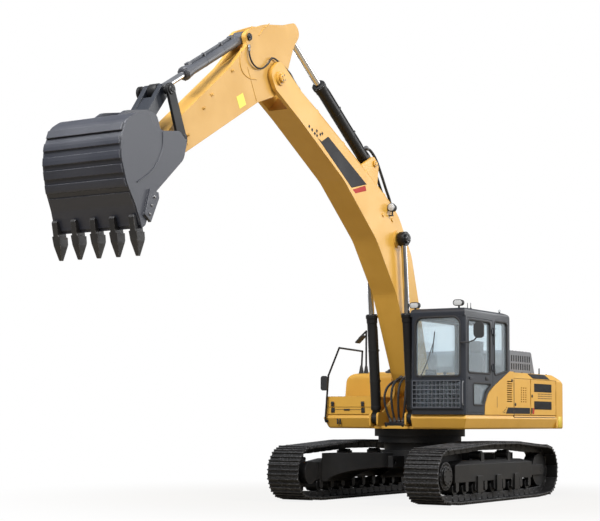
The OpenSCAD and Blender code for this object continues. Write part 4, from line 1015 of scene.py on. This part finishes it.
# %% Handle, aerials, marker and wiper
HANDLE_X, HANDLE_RADIUS = 0.085, 0.009
AERIAL = [(0, 0.020), (0.016, 0.018), (0.022, 0.007), (0.10, 0.005), (0.105, 0.001)]
MARKER_SPOT, MARKER_FOOT = (-0.42, 1.36), [(0, 0.026), (0.02, 0.022), (0.03, 0.014), (0.05, 0.014)]
WIPER_PIVOT = (0.66, 2.10)
work = Workpiece()
for z in (2.69, 2.85):
    work.bar((HANDLE_X, 1.472, z), (HANDLE_X, 1.486, z), HANDLE_RADIUS, 12)
handle = [(HANDLE_X, 1.486, 2.675), (HANDLE_X, 1.489, 2.77), (HANDLE_X, 1.486, 2.865)]
work.tube(smooth_path(handle), HANDLE_RADIUS, 12)
for y in (1.40, 1.34):
    work.lathe((0.85, y, 3.253), (0.85, y, 3.4), AERIAL, 12)
work.lathe((*MARKER_SPOT, 3.24), (*MARKER_SPOT, 3.4), MARKER_FOOT, 16)
work.tube(smooth_path([(1.262, *WIPER_PIVOT), (1.268, 0.78, 2.34), (1.266, 0.90, 2.66)]), 0.007, 8)
work.bar((1.262, 0.885, 2.50), (1.262, 0.925, 2.86), 0.009, 8)
work.bar((CAB_FRONT, *WIPER_PIVOT), (1.275, *WIPER_PIVOT), 0.022, 14)
work.done("cab_fittings", PLASTIC_AND_SEAM_SHADE, "upper")
print("handle, aerials, marker and wiper")

# %% Guard mesh, corner rail, lamps and mirror glass
GUARD_LOW, GUARD_HIGH, GUARD_PITCH, GUARD_WIRE = (0.513, 1.589), (1.401, 2.033), 0.074, 0.0055
LAMP_ROWS = [(0.505, 3.321), (1.325, 3.339)]
LAMP_RIM = ((1.17, 0.003), (1.204, 0.003), (1.204, -0.006), (1.196, -0.009), (1.196, -0.004))
RAIL_Y = 1.452
RAIL_PATH = [(1.262, 2.02), (1.285, 2.00), (1.292, 1.95), (1.292, 1.70), (1.285, 1.65), (1.262, 1.63)]
LEFT_MIRROR = [(1.645, 2.745, 0.07), (1.805, 2.745, 0.05), (1.805, 2.995, 0.05), (1.645, 2.995, 0.07)]
RIGHT_MIRROR = oblong(-1.435, 2.02, 0.053, 0.118, 0.036)
work = Workpiece()
for i in range(13):
    y = GUARD_LOW[0] + i * GUARD_PITCH
    work.bar((1.277, y, GUARD_LOW[1]), (1.277, y, GUARD_HIGH[1]), GUARD_WIRE, 8)
for k in range(7):
    z = GUARD_LOW[1] + k * GUARD_PITCH
    work.bar((1.279, GUARD_LOW[0], z), (1.279, GUARD_HIGH[0], z), GUARD_WIRE, 8)
work.done("guard_mesh", GUARD_GREY, "upper", smooth=60.0)
work = Workpiece()
work.tube(smooth_path([(x, RAIL_Y, z) for x, z in RAIL_PATH]), 0.011, 10)
work.done("cab_corner_rail", HOOD_GREY, "upper", smooth=60.0)
work = Workpiece()
for y, z in LAMP_ROWS:
    work.plate_x(rounded(oblong(y, z, 0.078, 0.042, 0.041)), 1.1945, 1.2005)
work.bar((*MARKER_SPOT, 3.288), (*MARKER_SPOT, 3.325), 0.022, 20)
work.done("roof_lamp_lenses", LENS, "upper", soften=0.002)
work = Workpiece()
for y, z in LAMP_ROWS:
    rim = oblong(y, z, 0.086, 0.05, 0.048)
    work.ring([[(x, a, b) for a, b in rounded(outset(rim, width))] for x, width in LAMP_RIM])
work.done("roof_lamp_rims", PLASTIC_AND_SEAM_SHADE, "upper")
work = Workpiece()
work.plate_x(rounded(LEFT_MIRROR), 1.2135, 1.2165)
work.plate_x(rounded(RIGHT_MIRROR), 0.9012, 0.9045)
work.done("mirror_glass", CHROME, "upper")
print("guard mesh, lenses and mirror glass")

# %% [markdown]
# ## Inside the cab
# The chair's cushions are soft, so they are shaped as swollen pads with rounded corners instead of plain
# blocks. Each control lever stands in a ribbed rubber boot.

# %% Cushions and boots
PAD_SQUARENESS, PIPING_DEPTH, PIPING_WIDTH = 0.42, 0.05, 0.08
RIBS = 5


def pad(name, middle, half, lean):
    """A swollen pad: a rounded block whose faces bulge, leaned about Y."""
    bm = bmesh.new()
    bmesh.ops.create_uvsphere(bm, u_segments=48, v_segments=28, radius=1.0)
    turn = Matrix.Rotation(lean, 3, "Y")
    for vert in bm.verts:
        shape = Vector([math.copysign(abs(c) ** PAD_SQUARENESS, c) for c in vert.co])
        piping = 1.0 - PIPING_DEPTH * math.exp(-(shape.z / PIPING_WIDTH) ** 2)
        spot = Vector((shape.x * half[0] * piping, shape.y * half[1] * piping, shape.z * half[2]))
        vert.co = world(*(Vector(middle) + turn @ spot))
    piece = hand_over(name, finished_mesh(bm, name), FABRIC, "upper", 60.0)


def ribbed(foot_radius, pitch, crest, groove):
    """Rows of a boot: a foot, then crests and grooves by first place, radius and shrink from rib to rib."""
    rows = [(0.0, foot_radius)]
    for i in range(RIBS):
        rows += [(place + i * pitch, radius - i * shrink) for place, radius, shrink in (crest, groove)]
    return rows


pad("seat_cushion", (0.075, 0.99, 1.955), (0.255, 0.205, 0.065), -0.06)
pad("back_cushion", (-0.105, 0.99, 2.22), (0.055, 0.195, 0.33), -0.15)
pad("head_cushion", (-0.185, 0.99, 2.665), (0.045, 0.115, 0.10), -0.13)
work = Workpiece()
for y in (0.665, 1.305):
    rows = ribbed(0.062, 0.02, (0.012, 0.058, 0.008), (0.020, 0.046, 0.006))
    work.lathe((0.34, y, 2.021), (0.34, y, 2.3), rows, 24)
work.done("lever_boots", RUBBER_AND_SEAM_SHADE, "upper", smooth=60.0)
work = Workpiece()
work.box((1.007, 0.652, 2.062), (1.0102, 0.828, 2.218))
work.done("display_face", PANE, "upper")
print("three cushions, two boots")

# %% [markdown]
# ## Covers, grilles and bands
# The slots of the rear door are thin dark boxes on its face: painted shade for the openings. A mesh panel
# is a thin dark plate, painted shade for the bay behind the grille, with crossing wires over it, so it keeps
# its grain from close by. The bands on the covers and on the boom are plain: dark fields with red ends.

# %% Mesh panels
MESH_WIRE = 0.0035
# inner and outer face of what lies on the left doors and the cover
SKIN = (1.4735, 1.4752)


def mesh_panel(work, corner, across, up, pitch=0.022):
    """A dark plate that paints the shade behind the grille, with crossing wires over it; corner, and the two
    sides as vectors.
    """
    corner, across, up = Vector(corner), Vector(across), Vector(up)
    out = across.cross(up).normalized()
    if out.z < -0.1 or out.y < -0.9:
        out = -out
    base = [corner, corner + across, corner + across + up, corner + up]
    # the plate: painted shade of the bay behind the wires
    work.solid([[p + out * rise for p in base] for rise in (-0.001, 0.002)])
    for side, other in ((across, up), (up, across)):
        count = max(2, round(side.length / pitch))
        for i in range(1, count):
            foot = corner + side * i / count + out * 0.004
            work.bar(foot, foot + other, MESH_WIRE, 6)


work = Workpiece()
for z0, z1 in ((1.90, 2.05), (1.58, 1.73)):
    mesh_panel(work, (-2.522, 1.4755, z0), (0.824, 0, 0), (0, 0, z1 - z0))
work.done("rear_door_mesh", GRILLE_AND_PAINTED_SHADE, "left_rear_door")
work = Workpiece()
mesh_panel(work, (-2.47, 1.4635, 2.141), (0.80, 0, 0), (-0.035, -0.118, 0.0865))
work.done("shoulder_mesh", GRILLE_AND_PAINTED_SHADE, "upper")
work = Workpiece()
# thin dark boxes on the door face: painted shade for the slot openings
for i in range(10):
    x = -2.53 + i * 0.068
    for z in (1.775, 1.815, 1.855):
        work.box((x, SKIN[0], z), (x + 0.04, SKIN[1], z + 0.017))
work.done("rear_door_slots", GRILLE_AND_PAINTED_SHADE, "left_rear_door")
work = Workpiece()
for y in (-0.99, 0.99):
    mesh_panel(work, (-2.66, y, 2.315), (0.98, 0, 0), (0, 0, 0.29), 0.03)
work.done("hood_mesh", GRILLE_AND_PAINTED_SHADE, "hood")
print("mesh panels on door, shoulder and hood")

# %% Bands, locks and blank signs
BAND_LOW, BAND_HIGH = 1.495, 1.605
COVER_CHEQUERS = [(-0.37, 1.51), (-0.33, 1.50), (-0.40, 1.555), (-0.35, 1.54), (-0.44, 1.59), (-0.29, 1.515)]
# name, finish, body, chequers, and the band's ends: low front, low rear, high rear, high front
BANDS = [
    ("cover_band", BAND_GREY, "upper", COVER_CHEQUERS, (-0.42, -0.765, -0.765, -0.52)),
    ("front_door_band", BAND_GREY, "left_front_door", [], (-0.795, -1.50, -1.50, -0.795)),
    ("rear_door_band", BAND_GREY, "left_rear_door", [], (-1.56, -1.60, -1.63, -1.56)),
    ("rear_door_band_end", RED, "left_rear_door", [], (-1.612, -1.69, -1.72, -1.642)),
]
for name, finish, body, chequers, ends in BANDS:
    work = Workpiece()
    work.plate_y(list(zip(ends, (BAND_LOW, BAND_LOW, BAND_HIGH, BAND_HIGH))), *SKIN)
    for x, z in chequers:
        work.plate_y([(x, z), (x - 0.022, z), (x - 0.030, z + 0.022), (x - 0.008, z + 0.022)], *SKIN)
    work.done(name, finish, body)
work = Workpiece()
work.box((-3.04, 1.473, 1.245), (-2.85, 1.4775, 1.455))
work.box((-3.04, -1.4775, 1.245), (-2.85, -1.473, 1.455))
work.done("tail_signs", BLANK, "upper", soften=0.001)

LOCK_ROWS = [(0, 0.030), (0.006, 0.030), (0.008, 0.024), (0.012, 0.022)]
LOCKS = [
    ("cover_lock", "upper", -0.69, 2.08, 1),
    ("front_door_lock", "left_front_door", -0.84, 1.66, 1),
    ("rear_door_lock", "left_rear_door", -1.60, 1.82, 1),
    ("right_door_lock", "right_door", -1.60, 1.82, -1),
]
for name, body, x, z, side in LOCKS:
    work = Workpiece()
    work.lathe((x, side * (CAB_SIDE - 0.002), z), (x, side * (CAB_SIDE + 0.1), z), LOCK_ROWS, 20)
    low, high = side * (CAB_SIDE + 0.008), side * (CAB_SIDE + 0.014)
    work.box((x - 0.006, low, z - 0.018), (x + 0.006, high, z + 0.018))
    work.done(name, PLASTIC_AND_SEAM_SHADE, body)
print("bands, signs and locks")

# %% Tanks, toolbox and rails
TAIL_POST = [(0, 0.03), (0.012, 0.03), (0.016, 0.012), (0.12, 0.012), (0.126, 0.006)]
STUD_RADIUS = 0.012


def studs(name, body, start, step, counts, z0, z1):
    """A field of round studs that gives a foothold."""
    work = Workpiece()
    for i in range(counts[0]):
        for k in range(counts[1]):
            x, y = start[0] + i * step[0], start[1] + k * step[1]
            work.bar((x, y, z0), (x, y, z1), STUD_RADIUS, 8)
    work.done(name, DARK, body)


work = Workpiece()
for x, y in ((0.04, -1.17), (-0.05, -1.12)):
    rows = ribbed(0.052, 0.026, (0.016, 0.047, 0.005), (0.026, 0.040, 0.004))
    work.lathe((x, y, 2.215), (x, y, 2.6), rows + [(0.15, 0.018)], 20)
work.lathe((-2.60, 1.20, 2.235), (-2.60, 1.20, 2.5), TAIL_POST, 14)
work.done("rail_boots", RUBBER_AND_SEAM_SHADE, "upper", smooth=60.0)
work = Workpiece()
for x, y, z, r in ((-0.35, -0.80, 2.215, 0.075), (-0.71, -0.95, 2.262, 0.06)):
    rows = [(0, r * 1.1), (0.012, r * 1.1), (0.014, r), (0.05, r), (0.056, r * 0.9)]
    work.lathe((x, y, z - 0.002), (x, y, z + 0.2), rows, 28)
    work.box((x - r * 0.8, y - 0.010, z + 0.055), (x + r * 0.8, y + 0.010, z + 0.068))
work.done("filler_caps", PLASTIC_AND_SEAM_SHADE, "upper", soften=0.002)
rows = [((-2.55 + i * 0.16, side * 0.955, 2.668), (0, 0, 1), 0.022) for i in range(7) for side in SIDES]
set_bolts("hood_bolts", rows, DARK, "hood")
rows = [((x, y, 2.2415), (0, 0, 1), 0.024) for x in (-2.70, -2.35, -1.95, -1.55, -1.2, -0.86)
        for y in (-1.30, 1.30)]
rows += [((0.30 + i * 0.16, -1.440, z), (0, -1, 0), 0.018) for i in range(4) for z in (1.52, 1.70)]
set_bolts("deck_bolts", rows, DARK, "upper")
studs("tread_studs", "upper", (-1.39, -0.32), (0.50 / 11, 0.08), (12, 9), 2.2385, 2.2445)
studs("lid_studs", "toolbox_lid", (0.24, -1.36), (0.075, 0.13), (8, 7), 1.7845, 1.790)
print("boots, caps and bolts on the platform")

# %% [markdown]
# ## Boom and stick
# On the boom lie painted steel pipes with clamps, a work lamp, the plain band and the pin caps with their
# lock bolts. Places on the boom and the stick are given along and square to the line between their pins.

# %% Boom band, pipes and lamp
BAND_ROWS = [(5.317, 0.237), (5.20, 0.30), (5.129, 0.517), (3.812, 0.949), (4.092, 0.511)]
RED_ROWS = [(4.052, 0.515), (3.83, 0.895), (3.745, 0.865), (3.945, 0.548)]
CHEQUERS = [(5.592, 0.167), (5.502, 0.198), (5.413, 0.219), (5.404, 0.298), (5.302, 0.345), (5.275, 0.405),
            (5.35, 0.25)]
PIPE_Y, PIPE_RADIUS = 0.206, 0.016
PIPE_ROWS = [(6.10, 0.396, 0.190), (5.9, 0.455, 0.198)] + [(u, w, PIPE_Y) for u, w in (
    (5.6, 0.557), (4.9, 0.792), (4.2, 1.027), (3.65, 1.205), (3.2, 1.343), (2.97, 1.405), (2.84, 1.425),
    (2.78, 1.395))]
PIPE_CLAMPS = [(5.6, 0.533), (4.75, 0.819), (3.95, 1.088), (3.3, 1.291)]
LAMP_Y = 0.30


def plates_on(work, frame_of, rows, inner, outer):
    """The same plate on both flanks of a lever, given in the lever's own frame."""
    for side in SIDES:
        work.plate_y([frame_of(u, w) for u, w in rows], side * inner, side * outer)


work = Workpiece()
plates_on(work, in_boom, BAND_ROWS, 0.2295, 0.2312)
for u, w in CHEQUERS:
    rows = [(u - 0.025, w - 0.02), (u + 0.02, w - 0.03), (u + 0.03, w + 0.015), (u - 0.015, w + 0.025)]
    plates_on(work, in_boom, rows, 0.2295, 0.2312)
work.done("boom_band", BAND_GREY, "boom")
work = Workpiece()
plates_on(work, in_boom, RED_ROWS, 0.2295, 0.2312)
work.done("boom_band_end", RED, "boom")

work = Workpiece()
for side in SIDES:
    path = along(in_boom, [(u, w, side * y) for u, w, y in PIPE_ROWS])
    work.tube(smooth_path(path, 6), PIPE_RADIUS, 12)
work.done("boom_pipes", YELLOW, "boom", smooth=50.0)
work = Workpiece()
for u, w in PIPE_CLAMPS:
    rows = [(u - 0.03, w - 0.005), (u + 0.03, w - 0.025), (u + 0.03, w + 0.032), (u - 0.03, w + 0.052)]
    plates_on(work, in_boom, rows, 0.184, 0.228)
work.done("boom_pipe_clamps", YELLOW, "boom", soften=0.004)

work = Workpiece()
x, z = in_boom(3.03, 1.27)
lamp_aim = (x + 0.2, LAMP_Y, z + 0.02)
work.box((x - 0.03, 0.229, z - 0.13), (x + 0.03, LAMP_Y, z - 0.115))
work.box((x - 0.012, 0.28, z - 0.12), (x + 0.012, LAMP_Y, z - 0.03))
work.lathe((x - 0.06, LAMP_Y, z), lamp_aim, [(0, 0.03), (0.03, 0.062), (0.11, 0.075), (0.125, 0.075)], 24)
work.done("boom_lamp", PLASTIC_AND_SEAM_SHADE, "boom", soften=0.002)
work = Workpiece()
work.lathe((x + 0.062, LAMP_Y, z + 0.0095), lamp_aim, [(0, 0.066), (0.012, 0.060), (0.018, 0.03)], 24)
work.done("boom_lamp_lens", LENS, "boom", smooth=60.0)
print("boom band, pipes and lamp")

# %% Pin caps
CAP_THICK = 0.016
# body, finish, and for each pin its place, the flank's distance from the middle and the cap's radius
PIN_CAPS = [
    ("boom", YELLOW, [(BOOM_NOSE, 0.285, 0.072), (ARM_CYL[0], 0.164, 0.058)]),
    ("upper", YELLOW, [(BOOM_FOOT, 0.312, 0.078), (BOOM_CYL[0], 0.44, 0.062)]),
    ("stick", DARK, [(SIDE_LINK, 0.272, 0.064), (BUCKET_CYL[0], 0.167, 0.056)]),
    ("boom_rods", DARK, [(BOOM_CYL[1], 0.43, 0.085)]),
    ("side_links", DARK, [(JOINT, 0.264, 0.066)]),
]


def cap(work, spot, side, y, radius):
    """A round cap on a pin's end, with a raised middle."""
    x, z = spot
    rows = [(0, radius), (CAP_THICK * 0.7, radius), (CAP_THICK, radius * 0.93), (CAP_THICK, radius * 0.5),
            (CAP_THICK * 1.5, radius * 0.46), (CAP_THICK * 1.5, 0.004)]
    work.lathe((x, side * (y - 0.002), z), (x, side * (y + 1), z), rows, 32)


for body, finish, pins in PIN_CAPS:
    work = Workpiece()
    bolts = []
    for spot, y, radius in pins:
        for side in SIDES:
            cap(work, spot, side, y, radius)
            middle = (spot[0], side * (y + 0.015), spot[1])
            bolts += circle_rows(middle, (0, side, 0), radius * 0.72, 4, 0.017, 0.4)
    work.done(body + "_pin_caps", finish, body, smooth=35.0)
    set_bolts(body + "_cap_bolts", bolts, PIN_STEEL, body)
BOOM_ROD_EYE = [(0, 0.121), (0.004, 0.123), (0.117, 0.123), (0.121, 0.121)]
BUCKET_ROD_EYE = [(0, 0.104), (0.004, 0.106), (0.139, 0.106), (0.143, 0.104)]
work = Workpiece()
x, z = BOOM_CYL[1]
for side in SIDES:
    work.lathe((x, side * 0.2845, z), (x, side, z), BOOM_ROD_EYE, 40)
work.done("boom_rod_eyes", DARK, "boom_rods", smooth=40.0)
work = Workpiece()
x, z = JOINT
work.lathe((x, -0.0715, z), (x, 1, z), BUCKET_ROD_EYE, 40)
work.done("bucket_rod_eye", DARK, "bucket_rod", smooth=40.0)

# %% Cylinder heads, feet and pipes
# body, finish, foot and eye, places across, barrel radius and barrel length
CYLINDERS = [
    ("boom_barrels", DARK, BOOM_CYL, [0.345, -0.345], 0.086, 1.78),
    ("arm_barrel", DARK, ARM_CYL, [0.0], 0.092, 1.905),
    ("bucket_barrel", SLATE, BUCKET_CYL, [0.0], 0.082, 1.60),
]
# place from the barrel's end or foot ring, and radius as a share of the barrel's
HEAD_SECTION = [(-0.13, 0.95), (-0.13, 1.03), (-0.125, 1.10), (-0.05, 1.10), (-0.045, 1.22), (0.004, 1.22),
                (0.008, 1.12), (0.022, 1.10), (0.028, 0.95), (0.030, 0.64), (0.002, 0.64), (0.002, 0.95)]
FOOT_SECTION = [(0, 0.9), (0, 1.01), (0.004, 1.05), (0.05, 1.05), (0.054, 1.01), (0.054, 0.9)]
CLAMP_SECTION = [(0, 0.95), (0, 1.03), (0.032, 1.03), (0.032, 0.95)]
PORT_OUTLINE = oblong(0, 0, 0.045, 0.035)
CLAMP_OUTLINE = [(0.0, 0.008), (0.032, 0.008), (0.032, 0.052), (0.0, 0.052)]


def dress_cylinder(work, spot, r, length):
    """Adds a head, a foot ring, two ports, a pipe between them and its clamps to one barrel."""
    def turned_ring(start, section):
        work.collar(spot(start, 0), spot(length + 1, 0), [(place, r * share) for place, share in section])

    def block(start, outline, low, high):
        work.solid([[spot(start + a, w, b) for a, b in outline] for w in (low, high)])

    near, far = r * 2.9, length - 0.16
    turned_ring(length, HEAD_SECTION)
    turned_ring(r * 1.9, FOOT_SECTION)
    for u in (near, far):
        block(u, PORT_OUTLINE, r * 0.85, r * 1.35)
    path = [spot(near + 0.03, r * 1.25, 0.02), spot(near + 0.12, r * 1.32, 0.03),
            spot(length * 0.5, r * 1.30, 0.03),
            spot(far - 0.10, r * 1.32, 0.03), spot(far - 0.03, r * 1.25, 0.02)]
    work.tube(smooth_path(path, 6), 0.013, 10)
    for share in (0.35, 0.65):
        turned_ring(length * share, CLAMP_SECTION)
        block(length * share, CLAMP_OUTLINE, r * 0.9, r * 1.34 + 0.012)


for body, finish, (foot, eye), places, r, length in CYLINDERS:
    work = Workpiece()
    bolts = []
    frame_of = on_line(foot, eye)
    for y in places:
        def spot(u, w, dy=0.0):
            return (frame_of(u, w)[0], y + dy, frame_of(u, w)[1])

        dress_cylinder(work, spot, r, length)
        way = Vector(spot(1, 0)) - Vector(spot(0, 0))
        bolts += circle_rows(spot(length + 0.004, 0), way, r * 1.165, 10, 0.016)
    work.done(body + "_fittings", finish, body, smooth=35.0)
    set_bolts(body + "_bolts", bolts, PIN_STEEL, body)

# %% [markdown]
# ## Hoses
# A hose joins two bodies that a joint moves against each other. Each end sits in a steel fitting. The
# hoses arch or hang a little longer than the straight way, as hoses must.

# %% Hoses over the joints
HOSES = []
# place from the hose's end and radius as a share of the hose's
FITTING_ROWS = [(-0.03, 1.25), (0.0, 1.7), (0.02, 1.7), (0.024, 1.3), (0.07, 1.25)]
STICK_HOSE, ARM_HOSE, FOOT_HOSE = 0.013, 0.024, 0.021
STICK_HOSE_Y, ARM_HOSE_Y = 0.190, 0.05
ON_STICK = [(0.50, 0.66, 0.176), (0.565, 0.56, 0.186)] + [(u, w, STICK_HOSE_Y) for u, w in (
    (0.555, 0.43), (0.46, 0.32), (0.31, 0.272), (0.14, 0.285), (-0.04, 0.312))]
ON_BOOM = [(u, w, STICK_HOSE_Y) for u, w in ((6.52, 0.335), (6.33, 0.365), (6.14, 0.392))]
OVER_BOOM = [(4.06, 1.64), (3.93, 1.73), (3.72, 1.775), (3.45, 1.745), (3.14, 1.69), (2.90, 1.65),
             (2.74, 1.57), (2.68, 1.45)]


def hose(name, points, radius, start_body, end_body):
    """A rubber hose along points between two bodies, with a fitting at each end that the body there carries.
    """
    line = smooth_path(points, 5)
    work = Workpiece()
    work.tube(line, radius, 12)
    piece = work.done(name, RUBBER_AND_SEAM_SHADE, None, smooth=60.0)
    world(*line[0])
    world(*line[-1])
    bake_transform(piece)
    for body, tip, beyond in ((start_body, line[0], line[1]), (end_body, line[-1], line[-2])):
        work = Workpiece()
        work.lathe(tip, beyond, [(place, radius * share) for place, share in FITTING_ROWS], 12)
        work.done(name + "_" + body + "_fitting", PIN_STEEL, body)
    length = sum((b - a).length for a, b in zip(line, line[1:]))
    HOSES.append((name, round(length, 2)))


for side, label in ((1, "left"), (-1, "right")):
    near = along(in_stick, [(u, w, side * y) for u, w, y in ON_STICK])
    far = along(in_boom, [(u, w, side * y) for u, w, y in ON_BOOM])
    hose(label + "_stick_hose", near + far, STICK_HOSE, "stick", "boom")
    over = along(in_boom, [(u, w, side * ARM_HOSE_Y) for u, w in OVER_BOOM])
    hose(label + "_arm_hose", over, ARM_HOSE, "arm_barrel", "boom")
    for offset, drop in ((0.04, 0.0), (0.12, -0.05)):
        y = side * offset
        rows = [(0.86, y, 1.35), (0.915, y * 1.4, 1.52), (0.945, y * 1.7, 1.77 + drop),
                (0.90, y * 1.6, 1.95 + drop), (0.775, y * 1.3, 2.065 + drop),
                (0.625 + drop * 0.6, y, 2.115 + drop)]
        hose(label + "_foot_hose_" + str(round(offset * 100)), rows, FOOT_HOSE, "upper", "boom")
work = Workpiece()
work.box((0.76, -0.20, 1.225), (0.95, 0.20, 1.335))
for y in (-0.16, 0.16):
    work.bar((0.949, y, 1.285), (0.965, y, 1.285), 0.03, 16)
work.done("hose_manifold", DARK, "upper", soften=0.006)
print("hoses and their lengths in metres:", HOSES)

# %% [markdown]
# ## Marks of the welder
# Plates meet in weld beads, and small brackets stand on them. They are thin, but in a low light they tell
# the eye that the stick and the bucket are built from plates.

# %% Stick and boom details
STICK_FLANK, STICK_WELD_Y, BOOM_FLANK = 0.154, 0.156, 0.229
SEAM_WELDS = [[(0.66, 0.40), (0.665, 0.10), (0.67, -0.12)], [(2.62, 0.20), (2.63, 0.05), (2.61, -0.10)]]
BOSS_WELD = [(6.00, 6.76), (6.027, 6.61), (6.012, 6.49), (5.935, 6.40), (5.79, 6.36), (5.59, 6.378)]
END_WELD = [(5.533, 7.05), (5.412, 7.178), (5.252, 7.298)]
STICK_BRACKETS = [(1.063, 0.473), (1.723, 0.332), (2.001, 0.226), (2.538, 0.02), (0.354, 0.794)]
BOOM_BRACKETS = [(3.10, 1.01), (2.83, 1.20), (1.55, 0.62), (0.72, 0.10)]
STICK_SIGN = oblong(1.055, 0.015, 0.095, 0.09)


def bead(work, points, radius=0.005):
    work.tube(smooth_path(points, 5), radius, 8)


work = Workpiece()
for side in SIDES:
    y = STICK_WELD_Y * side
    for rows in SEAM_WELDS:
        bead(work, along(in_stick, [(u, w, y) for u, w in rows]))
    bead(work, [(x, y, z) for x, z in BOSS_WELD], 0.009)
    bead(work, [(x, y, z) for x, z in END_WELD], 0.007)
work.done("stick_welds", STICK_YELLOW_PAINTED_SHADE, "stick", smooth=60.0)
work = Workpiece()
for u, w in STICK_BRACKETS:
    plates_on(work, in_stick, oblong(u, w, 0.03, 0.018), STICK_FLANK, 0.166)
    x, z = in_stick(u, w)
    for side in SIDES:
        work.bar((x, side * 0.165, z), (x, side * 0.18, z), 0.012, 12)
work.done("stick_brackets", STICK_YELLOW_PAINTED_SHADE, "stick", soften=0.002)
work = Workpiece()
plates_on(work, in_stick, STICK_SIGN, STICK_FLANK, 0.157)
work.done("stick_signs", BRIGHT_SIGN, "stick")
work = Workpiece()
for u, w in BOOM_BRACKETS:
    plates_on(work, in_boom, oblong(u, w, 0.03, 0.02), BOOM_FLANK, 0.243)
work.done("boom_brackets", YELLOW, "boom", soften=0.003)
print("welds, brackets and blank signs on the stick and boom")

# %% Bucket details
BUCKET_LIP, BUCKET_MOUTH = Vector((1.118, -1.150)), Vector((0.596, -0.803))
BUCKET_HALF, BUCKET_LEAN = 0.71, math.radians(5.0)
BUCKET_SEAM = [(0.703, 0.124), (0.71, -0.068), (0.79, -0.24), (0.90, -0.385), (1.05, -0.50), (1.22, -0.60)]
CUTTER_BOLTS = [(0.93, -0.755), (0.985, -0.87), (1.03, -0.985)]


def on_bucket(x, z, side, rise):
    """A point on the bucket's leaning side, from the bucket pin; rise is measured out of the plate."""
    gap = Vector((x, z)) - BUCKET_LIP
    depth = abs(gap.x * BUCKET_MOUTH.y - gap.y * BUCKET_MOUTH.x)
    y = BUCKET_HALF - depth * math.sin(BUCKET_LEAN) + rise
    return (BUCKET_PIN[0] + x, side * y, BUCKET_PIN[1] + z)


work = Workpiece()
for side in SIDES:
    bead(work, [on_bucket(x, z, side, 0.002) for x, z in BUCKET_SEAM], 0.010)
work.done("bucket_welds", BUCKET, "bucket", smooth=60.0)
rows = [(on_bucket(x, z, side, 0.030), (0, side, 0), 0.034) for side in SIDES for x, z in CUTTER_BOLTS]
set_bolts("cutter_bolts", rows, PIN_STEEL, "bucket")
print("bucket welds and cutter bolts")

# %% [markdown]
# ## Seams and latches of the covers
# Dark strips over the gaps between the covers paint the shade in those gaps. The toolbox has keepers under
# its latches, a thin dark strip across its face that paints the shade of its seam, and a handle, and the cab
# door a rounded pull.

# %% Seams, latches and handles
LATCH_PLACES = (-1.30, -0.69)
TOOLBOX_FACE = 0.829
DOOR_PULL = oblong(0.37, 2.0875, 0.07, 0.0375, 0.034)
work = Workpiece()
# dark strips on the gaps between the covers: painted shade
work.box((-0.790, 1.466, 1.44), (-0.770, 1.4768, 2.10))
work.box((-2.72, 1.466, 1.422), (-0.77, 1.4768, 1.438))
work.box((-0.06, SKIN[0], 1.60), (-0.048, SKIN[1], 1.79))
work.done("cover_seams", RUBBER_AND_SEAM_SHADE, "upper")
work = Workpiece()
for y in LATCH_PLACES:
    work.box((TOOLBOX_FACE, y - 0.035, 1.50), (0.843, y + 0.035, 1.585))
    work.bar((0.842, y - 0.03, 1.575), (0.842, y + 0.03, 1.575), 0.009, 10)
# a thin dark strip across the toolbox face: painted shade of its seam
work.box((TOOLBOX_FACE, -1.27, 1.549), (0.8325, -0.72, 1.557))
work.box((TOOLBOX_FACE, -1.075, 1.538), (0.843, -0.955, 1.566))
for y in (-1.215, -1.165):
    work.box((TOOLBOX_FACE, y, 1.295), (0.846, y + 0.026, 1.395))
work.done("toolbox_keepers", PLASTIC_AND_SEAM_SHADE, "upper", soften=0.0015)
work = Workpiece()
for y in LATCH_PLACES:
    work.box((0.851, y - 0.028, 1.612), (0.859, y + 0.028, 1.696))
    work.bar((0.856, y - 0.034, 1.665), (0.856, y + 0.034, 1.665), 0.010, 10)
work.done("lid_latches", PLASTIC_AND_SEAM_SHADE, "toolbox_lid", soften=0.002)
work = Workpiece()
work.plate_y(rounded(DOOR_PULL), 1.472, 1.480)
work.plate_y(rounded(outset(DOOR_PULL, -0.014)), 1.479, 1.486)
work.done("cab_door_pull", PLASTIC_AND_SEAM_SHADE, "cab_door", soften=0.003)
print("seams, keepers and handle on the covers")
